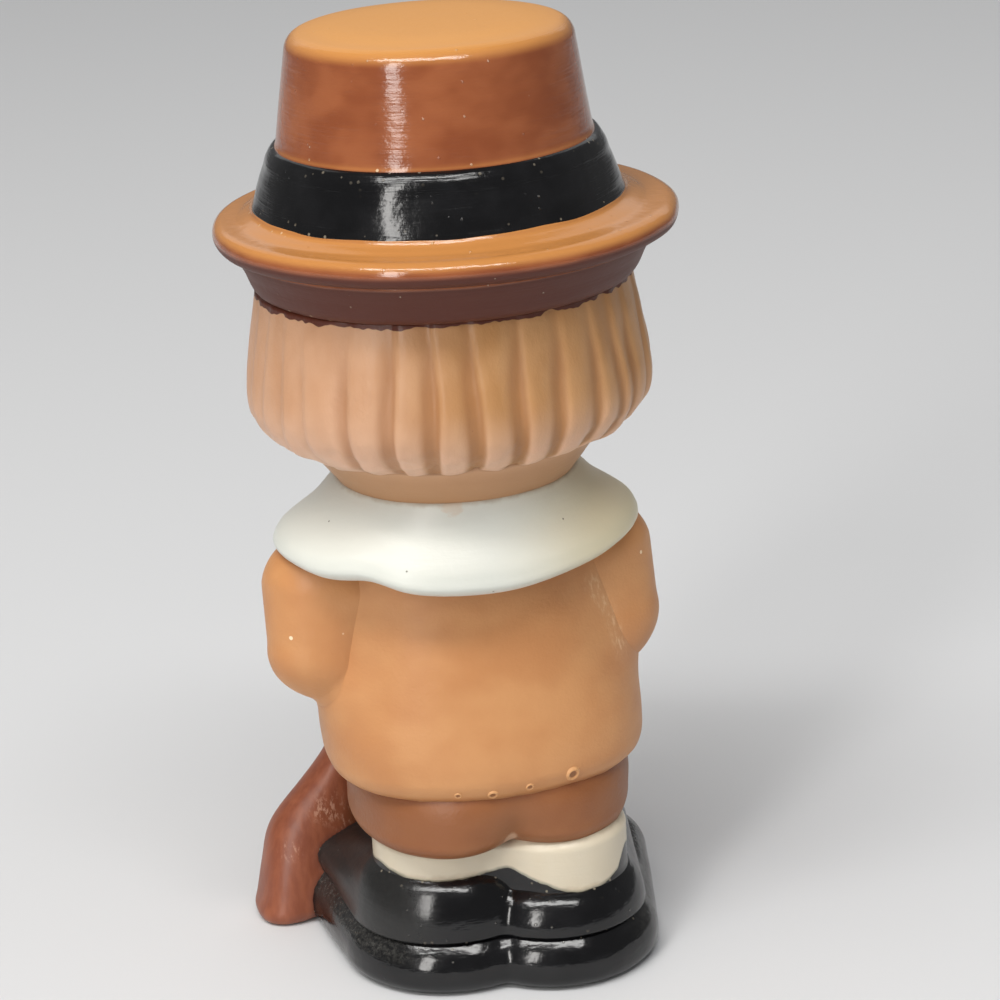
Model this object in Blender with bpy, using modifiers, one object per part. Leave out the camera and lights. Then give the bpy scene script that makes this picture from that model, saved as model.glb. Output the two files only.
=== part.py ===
"""Ceramic pilgrim figurine: a boy with a wide hat, a falling collar and a musket, as separate pieces.

Metres, +Z up. The figure faces -Y, its left side is +X, and it stands on the floor at Z = 0.
"""

import math

import bmesh
import bpy
from mathutils import Matrix, Vector

MM = 0.001
SEAM = 0.3 * MM  # gap between two pieces that seat on each other

# Feet
SOLE_THICKNESS = 6.8 * MM
SOLE_FOOT_ROUND = 2.0 * MM  # round of the lower edge
SOLE_TOP_ROUND = 4.2 * MM  # softer round of the upper edge
HEEL_RADIUS = 12.6 * MM
LEFT_HEEL_FULL = 1.2 * MM  # the left heel is fuller by this much, outward and behind
TOE_RADIUS = 11.0 * MM
HEEL_SPREAD = 11.0 * MM  # between the two heel centres
TOE_SPREAD = 23.0 * MM  # between the two toe centres
FOOT_LENGTH = 19.5 * MM  # from heel centre to toe centre
HEEL_BACK = 5.9 * MM  # heel centres behind the figure's axis
FOOT_STAGGER = 3.0 * MM  # the right foot stands this far behind the left
STANCE_SHIFT = 2.0 * MM  # the feet stand this far to the right of the axis
LEG_LEAN = 0.6 * MM  # the legs stand this far to the left of the feet
ANKLE_FORWARD = 0.8 * MM  # leg centres in front of the heel centres
POUR_HOLE_RADIUS = 5.0 * MM
SHOE_HEIGHT = 5.7 * MM
SHOE_INSET = 1.8 * MM  # the upper stands in from the sole's edge
TOE_INSET = 4.0 * MM  # and further in at the toe
SHOE_MOUTH_WALL = 1.5 * MM
BUCKLE_WIDTH = 6.2 * MM
BUCKLE_DEPTH = 5.2 * MM
BUCKLE_BAR = 1.2 * MM
BUCKLE_THICKNESS = 1.2 * MM
BUCKLE_AT = 0.72  # share of the way up the shoe

# Legs
STOCKING_RADIUS = 8.6 * MM
STOCKING_SHOW = 4.0 * MM  # white stocking between shoe and breeches
STOCKING_PEG = 4.0 * MM  # length hidden in the shoe, and again in the breeches
KNEE_PEG_RADIUS = 5.4 * MM  # thinner part inside the breeches
BREECHES_SHOW = 7.9 * MM  # breeches below the coat's hem
BREECHES_PEG = 5.0 * MM  # waist hidden inside the coat
LEG_HALF_WIDTH = 10.5 * MM
LEG_HALF_DEPTH = 15.9 * MM
LEG_SPREAD = 13.4 * MM
LEG_EDGE_ROUND = 2.4 * MM

# Coat
COAT_LENGTH = 33.6 * MM
HEM_HALF_WIDTH = 19.6 * MM
HEM_HALF_DEPTH = 16.8 * MM
HEM_TUCK = 1.3 * MM  # the hem turns in below its widest
SHOULDER_HALF_WIDTH = 14.6 * MM
SHOULDER_HALF_DEPTH = 12.4 * MM
BUTTON_RADIUS = 1.7 * MM
BUTTON_RISE = 1.1 * MM
BUTTON_COUNT = 3
BUTTON_PITCH = 6.2 * MM
LOWEST_BUTTON = 6.0 * MM  # above the hem

# Arms
SHOULDER_RADIUS = 7.0 * MM
ELBOW_RADIUS = 5.4 * MM
WRIST_RADIUS = 4.2 * MM
ELBOW_HEIGHT = 16.7 * MM  # above the hem
ELBOW_OUT = 1.55 * MM  # elbow centre outside the coat's side
SHOULDER_OUT = 1.6 * MM  # shoulder centre outside the coat's side
SHOULDER_SHIFT = 0.4 * MM  # arms and collar sit this far to the left of the axis
WRIST_IN = 2.0 * MM  # the forearms turn in by this much on their way forward
CUFF_LENGTH = 3.6 * MM
CUFF_RADIUS = 5.0 * MM
HAND_LENGTH = 9.4 * MM
HAND_HALF_WIDTH = 4.3 * MM
FIST_SHARES = (0.0, 0.12, 0.3, 0.5, 0.7, 0.86, 0.96, 1.0)  # of the hand's reach
FIST_SIZES = (0.62, 0.74, 0.95, 1.04, 1.05, 0.9, 0.62, 0.3)  # of its half width there

# Collar
COLLAR_RISE = 3.6 * MM  # inner edge above the top of the coat
COLLAR_DROP = 6.3 * MM  # outer edge below the inner one, over the arms
COLLAR_DIP = 1.9 * MM  # the edge hangs this much lower in front and behind
COLLAR_HALF_WIDTH = 22.0 * MM
COLLAR_HALF_DEPTH = 18.4 * MM
COLLAR_THICKNESS = 2.4 * MM
COLLAR_SPLIT = 2.0 * MM  # half the gap between the two front points

# Head
HEAD_HEIGHT = 26.6 * MM  # from the top of the coat to the hat
HEAD_HALF_WIDTH = 20.0 * MM
HEAD_HALF_DEPTH = 19.2 * MM
NAPE_RADIUS = 14.0 * MM  # where the collar rings the neck
NECK_RADIUS = 10.4 * MM
NECK_PEG = 4.0 * MM  # neck hidden inside the coat
NOSE_RADIUS = 1.9 * MM
NOSE_HEIGHT = 12.0 * MM  # above the top of the coat

# Hair
HAIR_LENGTH = 18.4 * MM
HAIR_HALF_WIDTH = 23.95 * MM
HAIR_HALF_DEPTH = 22.6 * MM
HAIR_TOP_INSET = 1.9 * MM  # the bob is narrower under the hat
HAIR_CURL_INSET = 4.4 * MM  # and turns in at its lower edge
LOCK_COUNT = 22
LOCK_GROOVE = 0.7 * MM
FRINGE_LENGTH = 5.0 * MM
FACE_HALF_WIDTH = 14.6 * MM

# Hat
BRIM_RADIUS = 27.0 * MM
BRIM_FOOT_RADIUS = 22.0 * MM  # where the underside meets the hair
BRIM_HEIGHT = 8.6 * MM
BRIM_EDGE = 3.0 * MM  # thickness of the rounded edge
BRIM_DROP = 0.6 * MM  # the edge lies below the band's foot
BRIM_SHIFT = 0.7 * MM  # the edge sits this far to the right of the crown
CROWN_BASE_RADIUS = 19.7 * MM
CROWN_TOP_RADIUS = 16.6 * MM
CROWN_HEIGHT = 20.9 * MM
CROWN_ROUND = 2.2 * MM
CROWN_DOME = 0.7 * MM
BAND_HEIGHT = 7.2 * MM
BAND_THICKNESS = 1.5 * MM  # at its foot
BAND_TOP_THICKNESS = 0.8 * MM
HAT_BUCKLE_WIDTH = 9.0 * MM
HAT_BUCKLE_MARGIN = 0.5 * MM  # band left showing above and below the buckle
HAT_BUCKLE_BAR = 1.7 * MM
HAT_BUCKLE_THICKNESS = 1.4 * MM

# Musket, along its own axis from the butt on the floor to the muzzle
MUSKET_LENGTH = 67.0 * MM
BUTT_HALF_WIDTH = 4.5 * MM
BUTT_HALF_DEPTH = 5.2 * MM
WRIST_HALF_WIDTH = 2.4 * MM
WRIST_HALF_DEPTH = 2.7 * MM
BUTT_LENGTH = 24.0 * MM
FORE_END_CLEAR = 3.0 * MM  # the stock ends this far below the upper hand
BUTT_CLEAR = 1.9 * MM  # butt centre outside the toe of the left shoe
LEAN_HEIGHT = 58.96 * MM  # where the lean and the standoff are measured
MUZZLE_LEAN = 27.5 * MM  # sideways reach across the figure at that height
MUZZLE_STANDOFF = 7.0 * MM  # barrel axis in front of the coat at that height
BARREL_RADIUS = 2.2 * MM
MUZZLE_RADIUS = 4.3 * MM
BORE_RADIUS = 1.9 * MM
BORE_DEPTH = 9.0 * MM
BREECH_AT = 22.0 * MM
RIGHT_GRIP = 53.0 * MM  # upper hand along the musket from the butt
GRIP_PITCH = 12.0 * MM  # from one hand to the other along the barrel
LOCK_LENGTH = 8.0 * MM
LOCK_HEIGHT = 3.0 * MM
LOCK_THICKNESS = 1.2 * MM

# Fineness of the round forms
ROUND_SIDES = 32
LIMB_SIDES = 16
ARC_STEPS = 4
BALL_ARC = 80  # degrees of a limb's ball end before its flat cap

# Heights, stacked from the floor
SHOE_FOOT = SOLE_THICKNESS + SEAM
SHOE_TOP = SHOE_FOOT + SHOE_HEIGHT
BREECHES_FOOT = SHOE_TOP + STOCKING_SHOW
HEM = BREECHES_FOOT + BREECHES_SHOW
COAT_TOP = HEM + COAT_LENGTH
HAIR_TOP = COAT_TOP + HEAD_HEIGHT
HAIR_FOOT = HAIR_TOP - HAIR_LENGTH
BRIM_FOOT = HAIR_TOP + SEAM
BRIM_TOP = BRIM_FOOT + BRIM_HEIGHT
CROWN_FOOT = BRIM_TOP + SEAM
CROWN_TOP = CROWN_FOOT + CROWN_HEIGHT

FORE_END = RIGHT_GRIP - FORE_END_CLEAR

LEFT, RIGHT = 1, -1
SIDE_NAMES = {LEFT: "left", RIGHT: "right"}


# Scene helpers

def clear_scene():
    for obj in list(bpy.data.objects):
        bpy.data.objects.remove(obj)


def new_collection(name):
    collection = bpy.data.collections.new(name)
    bpy.context.scene.collection.children.link(collection)
    return collection


def glaze(name, colour, roughness):
    """A painted ceramic finish."""
    material = bpy.data.materials.new(name)
    material.use_nodes = True
    shader = material.node_tree.nodes["Principled BSDF"]
    shader.inputs["Base Color"].default_value = (*colour, 1.0)
    shader.inputs["Roughness"].default_value = roughness
    shader.inputs["Metallic"].default_value = 0.0
    return material


def add_piece(name, mesh, finish):
    """A named piece of the figurine, under the root empty."""
    piece = bpy.data.objects.new(name, mesh)
    PIECES.objects.link(piece)
    piece.parent = ROOT
    mesh.materials.append(finish)
    mesh.shade_smooth()
    mesh.set_sharp_from_angle(angle=math.radians(40))
    return piece


def hide_as_cutter(obj):
    for collection in list(obj.users_collection):
        collection.objects.unlink(obj)
    CUTTERS.objects.link(obj)
    obj.hide_render = True
    obj.display_type = "WIRE"
    return obj


def mould(piece):
    """A hidden copy of a piece's plain form, one seam larger all round, which cuts the socket it sits in."""
    mesh = piece.data.copy()
    shell = bmesh.new()
    shell.from_mesh(mesh)
    shell.normal_update()
    moved = [v.co + v.normal * (SEAM * v.calc_shell_factor()) for v in shell.verts]
    for vertex, place in zip(shell.verts, moved):
        vertex.co = place
    shell.to_mesh(mesh)
    shell.free()
    cutter = bpy.data.objects.new(piece.name + "_mould", mesh)
    CUTTERS.objects.link(cutter)
    cutter.parent = ROOT
    cutter.matrix_basis = piece.matrix_basis
    return hide_as_cutter(cutter)


def cut(piece, *cutters):
    for cutter in cutters:
        boolean = piece.modifiers.new("cut by " + cutter.name, "BOOLEAN")
        boolean.operation = "DIFFERENCE"
        boolean.solver = "EXACT"
        boolean.object = cutter


def fuse(piece, other):
    boolean = piece.modifiers.new("fused with " + other.name, "BOOLEAN")
    boolean.operation = "UNION"
    boolean.solver = "EXACT"
    boolean.object = other


# Shape helpers

def arc(centre, radius, start, end, steps=ARC_STEPS):
    """Points on a circle in the profile plane, from one angle to another in degrees."""
    points = []
    for step in range(steps + 1):
        angle = math.radians(start + (end - start) * step / steps)
        points.append((centre[0] + radius * math.cos(angle), centre[1] + radius * math.sin(angle)))
    return points


def flowing(stations, at):
    """A smooth reading between stations (place, value, value, ...), each passed through."""
    places = [station[0] for station in stations]
    last = len(places) - 2
    span = min(max(sum(place <= at for place in places) - 1, 0), last)
    low, high = stations[span], stations[span + 1]
    before, after = stations[max(span - 1, 0)], stations[min(span + 2, last + 1)]
    length = high[0] - low[0]
    t = (at - low[0]) / length
    values = []
    for k in range(1, len(low)):
        slope_low = (high[k] - before[k]) / (high[0] - before[0]) * length
        slope_high = (after[k] - low[k]) / (after[0] - low[0]) * length
        values.append(
            (2 * t**3 - 3 * t**2 + 1) * low[k]
            + (t**3 - 2 * t**2 + t) * slope_low
            + (3 * t**2 - 2 * t**3) * high[k]
            + (t**3 - t**2) * slope_high
        )
    return values


def evenly(start, end, steps):
    return [start + (end - start) * step / steps for step in range(steps + 1)]


def oval(half_width, half_depth, height, sides=ROUND_SIDES, fullness=2.0):
    """A level superellipse round the axis."""
    points = []
    for step in range(sides):
        angle = math.tau * step / sides
        across, along = math.cos(angle), math.sin(angle)
        x = math.copysign(abs(across) ** (2 / fullness), across) * half_width
        y = math.copysign(abs(along) ** (2 / fullness), along) * half_depth
        points.append(Vector((x, y, height)))
    return points


def skin(name, rings, wraps=False):
    """A closed mesh over a run of rings. It joins the last ring to the first, or closes both ends."""
    mesh = bpy.data.meshes.new(name)
    shell = bmesh.new()
    loops = [[shell.verts.new(point) for point in ring] for ring in rings]
    pairs = list(zip(loops, loops[1:]))
    if wraps:
        pairs.append((loops[-1], loops[0]))
    else:
        shell.faces.new(list(reversed(loops[0])))
        shell.faces.new(loops[-1])
    for lower, upper in pairs:
        for k in range(len(lower)):
            following = (k + 1) % len(lower)
            shell.faces.new((lower[k], lower[following], upper[following], upper[k]))
    bmesh.ops.recalc_face_normals(shell, faces=shell.faces)
    shell.to_mesh(mesh)
    shell.free()
    return mesh


def turn(piece, profile, closed, steps=ROUND_SIDES):
    """Makes an empty piece a turned shape, from a profile of (radius, height) down its outer side."""
    shell = bmesh.new()
    points = [shell.verts.new((radius, 0.0, height)) for radius, height in profile]
    for upper, lower in zip(points, points[1:]):
        shell.edges.new((upper, lower))
    if closed:
        shell.edges.new((points[-1], points[0]))
    shell.to_mesh(piece.data)
    shell.free()
    screw = piece.modifiers.new("turned", "SCREW")
    screw.axis = "Z"
    screw.steps = steps
    screw.render_steps = steps
    screw.use_merge_vertices = True
    screw.merge_threshold = 0.01 * MM


def bake(piece, glaze_of_piece):
    """Makes a piece's modifiers permanent, so that its form can be copied as a mould or pushed out of round."""
    bpy.context.view_layer.update()
    graph = bpy.context.evaluated_depsgraph_get()
    mesh = bpy.data.meshes.new_from_object(piece.evaluated_get(graph))
    mesh.materials.clear()
    mesh.materials.append(glaze_of_piece)
    piece.modifiers.clear()
    piece.data = mesh


def limb_frame(start, towards):
    """A frame whose Z runs along a limb."""
    side = Vector((0.0, 0.0, 1.0)).cross(towards).normalized()
    return Matrix.Translation(start) @ Matrix((side, towards.cross(side), towards)).transposed().to_4x4()


def limb(name, start, end, start_radius, end_radius, round_end=True):
    """A tapered limb between two points, with a ball at its start and, if asked, at its end."""
    length = (end - start).length
    frame = limb_frame(start, (end - start) / length)
    profile = arc((0.0, 0.0), start_radius, -BALL_ARC, 0)
    if round_end:
        profile += arc((0.0, length), end_radius, 0, BALL_ARC)
    else:
        profile.append((end_radius, length))
    rings = []
    for radius, distance in profile:
        rings.append([frame @ point for point in oval(radius, radius, distance, LIMB_SIDES)])
    return skin(name, rings)


def level_outline(distance, inset, height, centre, reach, sides):
    """The outline at a stated inset inside a flat shape, found along rays from a centre."""
    points = []
    for step in range(sides):
        angle = math.tau * step / sides
        ray = Vector((math.cos(angle), math.sin(angle)))
        near, far = 0.0, reach
        for _ in range(40):
            middle = (near + far) / 2
            if distance(centre + ray * middle) < -inset:
                near = middle
            else:
                far = middle
        flat = centre + ray * near
        points.append(Vector((flat.x, flat.y, height)))
    return points


def capsule_distance(point, start, end, start_radius, end_radius):
    """Signed distance to the outline that wraps two circles of unlike radius."""
    axis = end - start
    length = axis.length
    along = axis / length
    offset = point - start
    p = Vector((abs(offset.dot(Vector((-along.y, along.x)))), offset.dot(along)))
    slope = (start_radius - end_radius) / length
    rise = math.sqrt(1 - slope * slope)
    k = p.y * rise - p.x * slope
    if k < 0:
        return p.length - start_radius
    if k > rise * length:
        return (p - Vector((0, length))).length - end_radius
    return p.x * rise + p.y * slope - start_radius


def oval_distance(point, centre, half_width, half_depth):
    """Near-true signed distance to an ellipse."""
    offset = point - centre
    share = math.hypot(offset.x / half_width, offset.y / half_depth)
    return (share - 1) * min(half_width, half_depth)


# Feet

def foot_back(side):
    """How far one foot stands behind the axis. The right foot is set back."""
    return HEEL_BACK - side * FOOT_STAGGER / 2


def heel_full(side):
    return LEFT_HEEL_FULL * (side == LEFT)


def heel_of(side):
    full = heel_full(side)
    return Vector((side * HEEL_SPREAD / 2 - STANCE_SHIFT + full, foot_back(side) - full))


def toe_of(side):
    return Vector((side * TOE_SPREAD / 2 - STANCE_SHIFT, foot_back(side) - FOOT_LENGTH))


def foot_distance(point, side):
    return capsule_distance(point, heel_of(side), toe_of(side), HEEL_RADIUS + heel_full(side), TOE_RADIUS)


def both_feet_distance(point):
    return min(foot_distance(point, LEFT), foot_distance(point, RIGHT))


def make_sole():
    """One thick, round-edged base under both shoes, with the pour hole that the casting drains through."""
    reach = HEEL_RADIUS + TOE_RADIUS + FOOT_LENGTH + HEEL_SPREAD
    middle = (heel_of(LEFT) + heel_of(RIGHT) + toe_of(LEFT) + toe_of(RIGHT)) / 4
    foot = arc((-SOLE_FOOT_ROUND, SOLE_FOOT_ROUND), SOLE_FOOT_ROUND, -90, 0)
    top = arc((-SOLE_TOP_ROUND, SOLE_THICKNESS - SOLE_TOP_ROUND), SOLE_TOP_ROUND, 0, 90)
    rings = []
    for bulge, height in foot + top:
        rings.append(level_outline(both_feet_distance, -bulge, height, middle, reach, 2 * LIMB_SIDES + 8))
    sole = add_piece("sole", skin("sole", rings), BLACK)
    plain = mould(sole)
    hole = bmesh.new()
    bmesh.ops.create_cone(
        hole,
        cap_ends=True,
        segments=LIMB_SIDES,
        radius1=POUR_HOLE_RADIUS,
        radius2=POUR_HOLE_RADIUS,
        depth=3 * SOLE_THICKNESS,
        matrix=Matrix.Translation((middle.x, middle.y, 0.0)),
    )
    mesh = bpy.data.meshes.new("pour_hole")
    hole.to_mesh(mesh)
    hole.free()
    bore = bpy.data.objects.new("pour_hole", mesh)
    CUTTERS.objects.link(bore)
    bore.parent = ROOT
    cut(sole, hide_as_cutter(bore))
    return plain


def ankle_of(side):
    """Centre of the leg, over the heel."""
    return Vector((side * LEG_SPREAD / 2 - STANCE_SHIFT + LEG_LEAN, foot_back(side) - ANKLE_FORWARD))


def shoe_at(side, share):
    """Heel and toe circles of one shoe upper, at a share of its height from the welt to the mouth."""
    mouth = STOCKING_RADIUS + SHOE_MOUTH_WALL
    drawn_in = share**2.2
    closing = min(max((share - 0.2) / 0.8, 0.0), 1.0) ** 1.3
    swell = 0.5 * SHOE_INSET * math.sin(math.pi * min(share * 1.6, 1.0))
    heel_radius = (HEEL_RADIUS + heel_full(side) - SHOE_INSET) * (1 - drawn_in) + mouth * drawn_in + swell
    toe_radius = (TOE_RADIUS - TOE_INSET) * (1 - drawn_in) + 0.93 * mouth * drawn_in + swell
    heel = heel_of(side).lerp(ankle_of(side), drawn_in)
    toe = toe_of(side).lerp(ankle_of(side) + Vector((0.0, -0.12 * mouth)), closing)
    return heel, toe, heel_radius, toe_radius


def shoe_rings(side):
    """Outlines of one shoe upper, from the whole foot at the welt to a mouth round the ankle."""
    middle = heel_of(side).lerp(toe_of(side), 0.3)
    reach = FOOT_LENGTH + HEEL_RADIUS + TOE_RADIUS
    rings = []
    for share in (0.0, 0.12, 0.3, 0.5, 0.7, 0.86, 0.96, 1.0):
        foot = shoe_at(side, share)

        def distance(point, foot=foot):
            return capsule_distance(point, *foot)

        round_top = 0.5 * SHOE_MOUTH_WALL * (share > 0.98)
        height = SHOE_FOOT + SHOE_HEIGHT * share
        ring = level_outline(distance, round_top, height, middle.lerp(ankle_of(side), share), reach, 32)
        rings.append([pressed(point, side) for point in ring])
    return rings


def shoe_front(side, share):
    """The point of one shoe furthest along the foot, at a share of its height."""
    _, toe, _, toe_radius = shoe_at(side, share)
    forward = (toe_of(side) - ankle_of(side)).normalized()
    flat = toe + forward * toe_radius
    return Vector((flat.x, flat.y, SHOE_FOOT + SHOE_HEIGHT * share))


def pressed(point, side):
    """Flattens a point that crosses the middle of the figure, where left meets right."""
    point.x = side * max(side * (point.x + STANCE_SHIFT), SEAM / 2) - STANCE_SHIFT
    return point


def make_leg(side):
    """Shoe upper and stocking of one leg. The stocking is a peg into both the shoe and the breeches.

    It returns the moulds of the two.
    """
    name = SIDE_NAMES[side]
    ankle = ankle_of(side)
    knee = BREECHES_FOOT - SEAM
    stations = [
        (SHOE_TOP - STOCKING_PEG, STOCKING_RADIUS),
        (knee, STOCKING_RADIUS),
        (knee, KNEE_PEG_RADIUS),
        (knee + STOCKING_PEG, KNEE_PEG_RADIUS),
    ]
    rings = []
    for height, radius in stations:
        ring = oval(radius, radius, height, LIMB_SIDES + 4)
        rings.append([pressed(p + Vector((ankle.x, ankle.y, 0.0)), side) for p in ring])
    stocking = add_piece("stocking_" + name, skin("stocking_" + name, rings), WHITE)
    stocking_mould = mould(stocking)
    shoe = add_piece("shoe_" + name, skin("shoe_" + name, shoe_rings(side)), BLACK)
    cut(shoe, stocking_mould)
    return mould(shoe), stocking_mould


def make_shoe_buckle(side, moulds):
    """A square buckle frame that lies on the slope of the shoe's tongue."""
    name = "shoe_buckle_" + SIDE_NAMES[side]
    mesh = buckle_frame(name, BUCKLE_WIDTH, BUCKLE_DEPTH, BUCKLE_BAR, BUCKLE_THICKNESS)
    buckle = add_piece(name, mesh, BRASS)
    low, high = shoe_front(side, BUCKLE_AT - 0.1), shoe_front(side, BUCKLE_AT + 0.1)
    back = high - low
    heading = math.atan2(back.y, back.x) - math.pi / 2
    slope = math.atan2(back.z, math.hypot(back.x, back.y))
    buckle.location = shoe_front(side, BUCKLE_AT)
    buckle.rotation_euler = (slope, 0.0, heading)
    cut(buckle, *moulds)


def squared(share):
    """Spreads points on a circle out into the corners of a rounded square."""
    return math.copysign(abs(share) ** 0.4, share)


def buckle_frame(name, width, height, bar, thickness):
    """A square frame with rounded corners, lying flat, as four-sided bars swept round an open window."""
    rings = []
    sides = 16
    for step in range(sides):
        angle = math.tau * (step + 0.5) / sides
        across, along = math.cos(angle), math.sin(angle)
        outward = Vector((squared(across), squared(along)))
        outer = Vector((outward.x * width / 2, outward.y * height / 2))
        inner = Vector((outward.x * (width / 2 - bar), outward.y * (height / 2 - bar)))
        edge = outer.lerp(inner, 0.25)
        crest = outer.lerp(inner, 0.75)
        rings.append([
            Vector((outer.x, outer.y, -thickness)),
            Vector((outer.x, outer.y, 0.5 * thickness)),
            Vector((edge.x, edge.y, thickness)),
            Vector((crest.x, crest.y, thickness)),
            Vector((inner.x, inner.y, 0.5 * thickness)),
            Vector((inner.x, inner.y, -thickness)),
        ])
    return skin(name, rings, wraps=True)


# Breeches and coat

def legs_distance(point, apart):
    """Signed distance to two overlapping ovals, which part as the legs do."""
    half_width = LEG_HALF_WIDTH + (LEG_SPREAD / 2) * (1 - apart)
    found = []
    for side in (LEFT, RIGHT):
        centre = Vector(((side * LEG_SPREAD / 2 + LEG_LEAN) * apart - STANCE_SHIFT, 0.0))
        found.append(oval_distance(point, centre, half_width, LEG_HALF_DEPTH))
    return min(found)


def make_breeches(stocking_moulds):
    """Full knee breeches in two lobes, gathered to one waist inside the coat."""
    top = HEM + BREECHES_PEG
    rounding = arc((0.0, LEG_EDGE_ROUND), LEG_EDGE_ROUND, -90, 0, 3)
    stations = [(BREECHES_FOOT + height, LEG_EDGE_ROUND - bulge) for bulge, height in rounding]
    stations += [(HEM - 0.5 * LEG_EDGE_ROUND, 0.0), (HEM + 0.4 * BREECHES_PEG, 0.5 * LEG_EDGE_ROUND)]
    stations.append((top, LEG_EDGE_ROUND))
    rings = []
    for height, inset in stations:
        apart = 1 - 0.75 * (height - BREECHES_FOOT) / (top - BREECHES_FOOT)

        def distance(point, apart=apart):
            return legs_distance(point, apart)

        reach = 2 * (LEG_HALF_DEPTH + LEG_HALF_WIDTH + LEG_SPREAD)
        rings.append(level_outline(distance, inset, height, Vector((-STANCE_SHIFT, 0.0)), reach, ROUND_SIDES))
    breeches = add_piece("breeches", skin("breeches", rings), TAN)
    plain = mould(breeches)
    cut(breeches, *stocking_moulds)
    return plain


def coat_stations():
    """Half width and half depth of the coat by height: a bell from the shoulders to a rounded hem."""
    rise = COAT_LENGTH
    return [
        (HEM, HEM_HALF_WIDTH - HEM_TUCK, HEM_HALF_DEPTH - HEM_TUCK),
        (HEM + 0.025 * rise, HEM_HALF_WIDTH - 0.4 * HEM_TUCK, HEM_HALF_DEPTH - 0.4 * HEM_TUCK),
        (HEM + 0.08 * rise, HEM_HALF_WIDTH, HEM_HALF_DEPTH),
        (HEM + 0.22 * rise, HEM_HALF_WIDTH, HEM_HALF_DEPTH - 0.4 * HEM_TUCK),
        (HEM + 0.5 * rise, coat_between(0.52, "width"), coat_between(0.45, "depth")),
        (HEM + 0.8 * rise, SHOULDER_HALF_WIDTH, SHOULDER_HALF_DEPTH),
        (HEM + 0.93 * rise, 0.93 * SHOULDER_HALF_WIDTH, 0.97 * SHOULDER_HALF_DEPTH),
        (COAT_TOP, 0.82 * SHOULDER_HALF_WIDTH, 0.93 * SHOULDER_HALF_DEPTH),
    ]


def coat_between(share, which):
    """A size of the coat at a share of the way from the shoulder down to the hem."""
    low, high = HEM_HALF_WIDTH, SHOULDER_HALF_WIDTH
    if which == "depth":
        low, high = HEM_HALF_DEPTH, SHOULDER_HALF_DEPTH
    return high + (low - high) * share


def coat_at(height):
    return flowing(coat_stations(), height)


def coat_middle(height):
    """The coat's centre by height: it follows the legs at the hem and the head at the neck."""
    return -0.75 * STANCE_SHIFT * (COAT_TOP - height) / COAT_LENGTH


def make_coat(breeches_mould, head_mould):
    heights = [station[0] for station in coat_stations()]
    heights += [HEM + 0.36 * COAT_LENGTH, HEM + 0.65 * COAT_LENGTH, HEM + 0.14 * COAT_LENGTH]
    rings = []
    for height in sorted(heights):
        half_width, half_depth = coat_at(height)
        ring = oval(half_width, half_depth, height, fullness=2.2)
        rings.append([point + Vector((coat_middle(height), 0.0, 0.0)) for point in ring])
    coat = add_piece("coat", skin("coat", rings), TAN)
    plain = mould(coat)
    cut(coat, breeches_mould, head_mould)
    return plain


def make_button(number):
    """One domed button, flat on the front of the coat, counted from the hem."""
    height = HEM + LOWEST_BUTTON + BUTTON_PITCH * (number - 1)
    front = coat_at(height)[1]
    rise = coat_at(height + BUTTON_RADIUS)[1] - coat_at(height - BUTTON_RADIUS)[1]
    lean = math.atan2(rise, 2 * BUTTON_RADIUS)
    profile = [(BUTTON_RADIUS * x, BUTTON_RISE * y) for x, y in arc((0.0, 0.0), 1.0, BALL_ARC, 0)]
    profile = [(0.0, BUTTON_RISE)] + profile + [(0.0, 0.0)]
    button = add_piece(f"coat_button_{number}", bpy.data.meshes.new(f"coat_button_{number}"), BRASS)
    turn(button, profile, closed=False, steps=LIMB_SIDES)
    button.location = (coat_middle(height), -(front + SEAM), height)
    button.rotation_euler = (math.pi / 2 + lean, 0.0, 0.0)


# Musket

def musket_frame():
    """Place and direction of the musket: butt on the floor by the left toe, muzzle across the chest."""
    toe = toe_of(LEFT)
    foot = Vector((toe.x + TOE_RADIUS + BUTT_CLEAR, toe.y, 0.0))
    across = foot.x - MUZZLE_LEAN
    muzzle = Vector((across, -(HEM_HALF_DEPTH + MUZZLE_STANDOFF), LEAN_HEIGHT))
    along = (muzzle - foot).normalized()
    out = Vector((0.0, -1.0, 0.0))
    out = (out - along * out.dot(along)).normalized()
    side = out.cross(along)
    turn_to = Matrix((side, out, along)).transposed().to_4x4()
    return Matrix.Translation(foot) @ turn_to


def along_musket(distance):
    frame = musket_frame()
    return frame.translation + frame.col[2].to_3d() * distance


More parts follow.
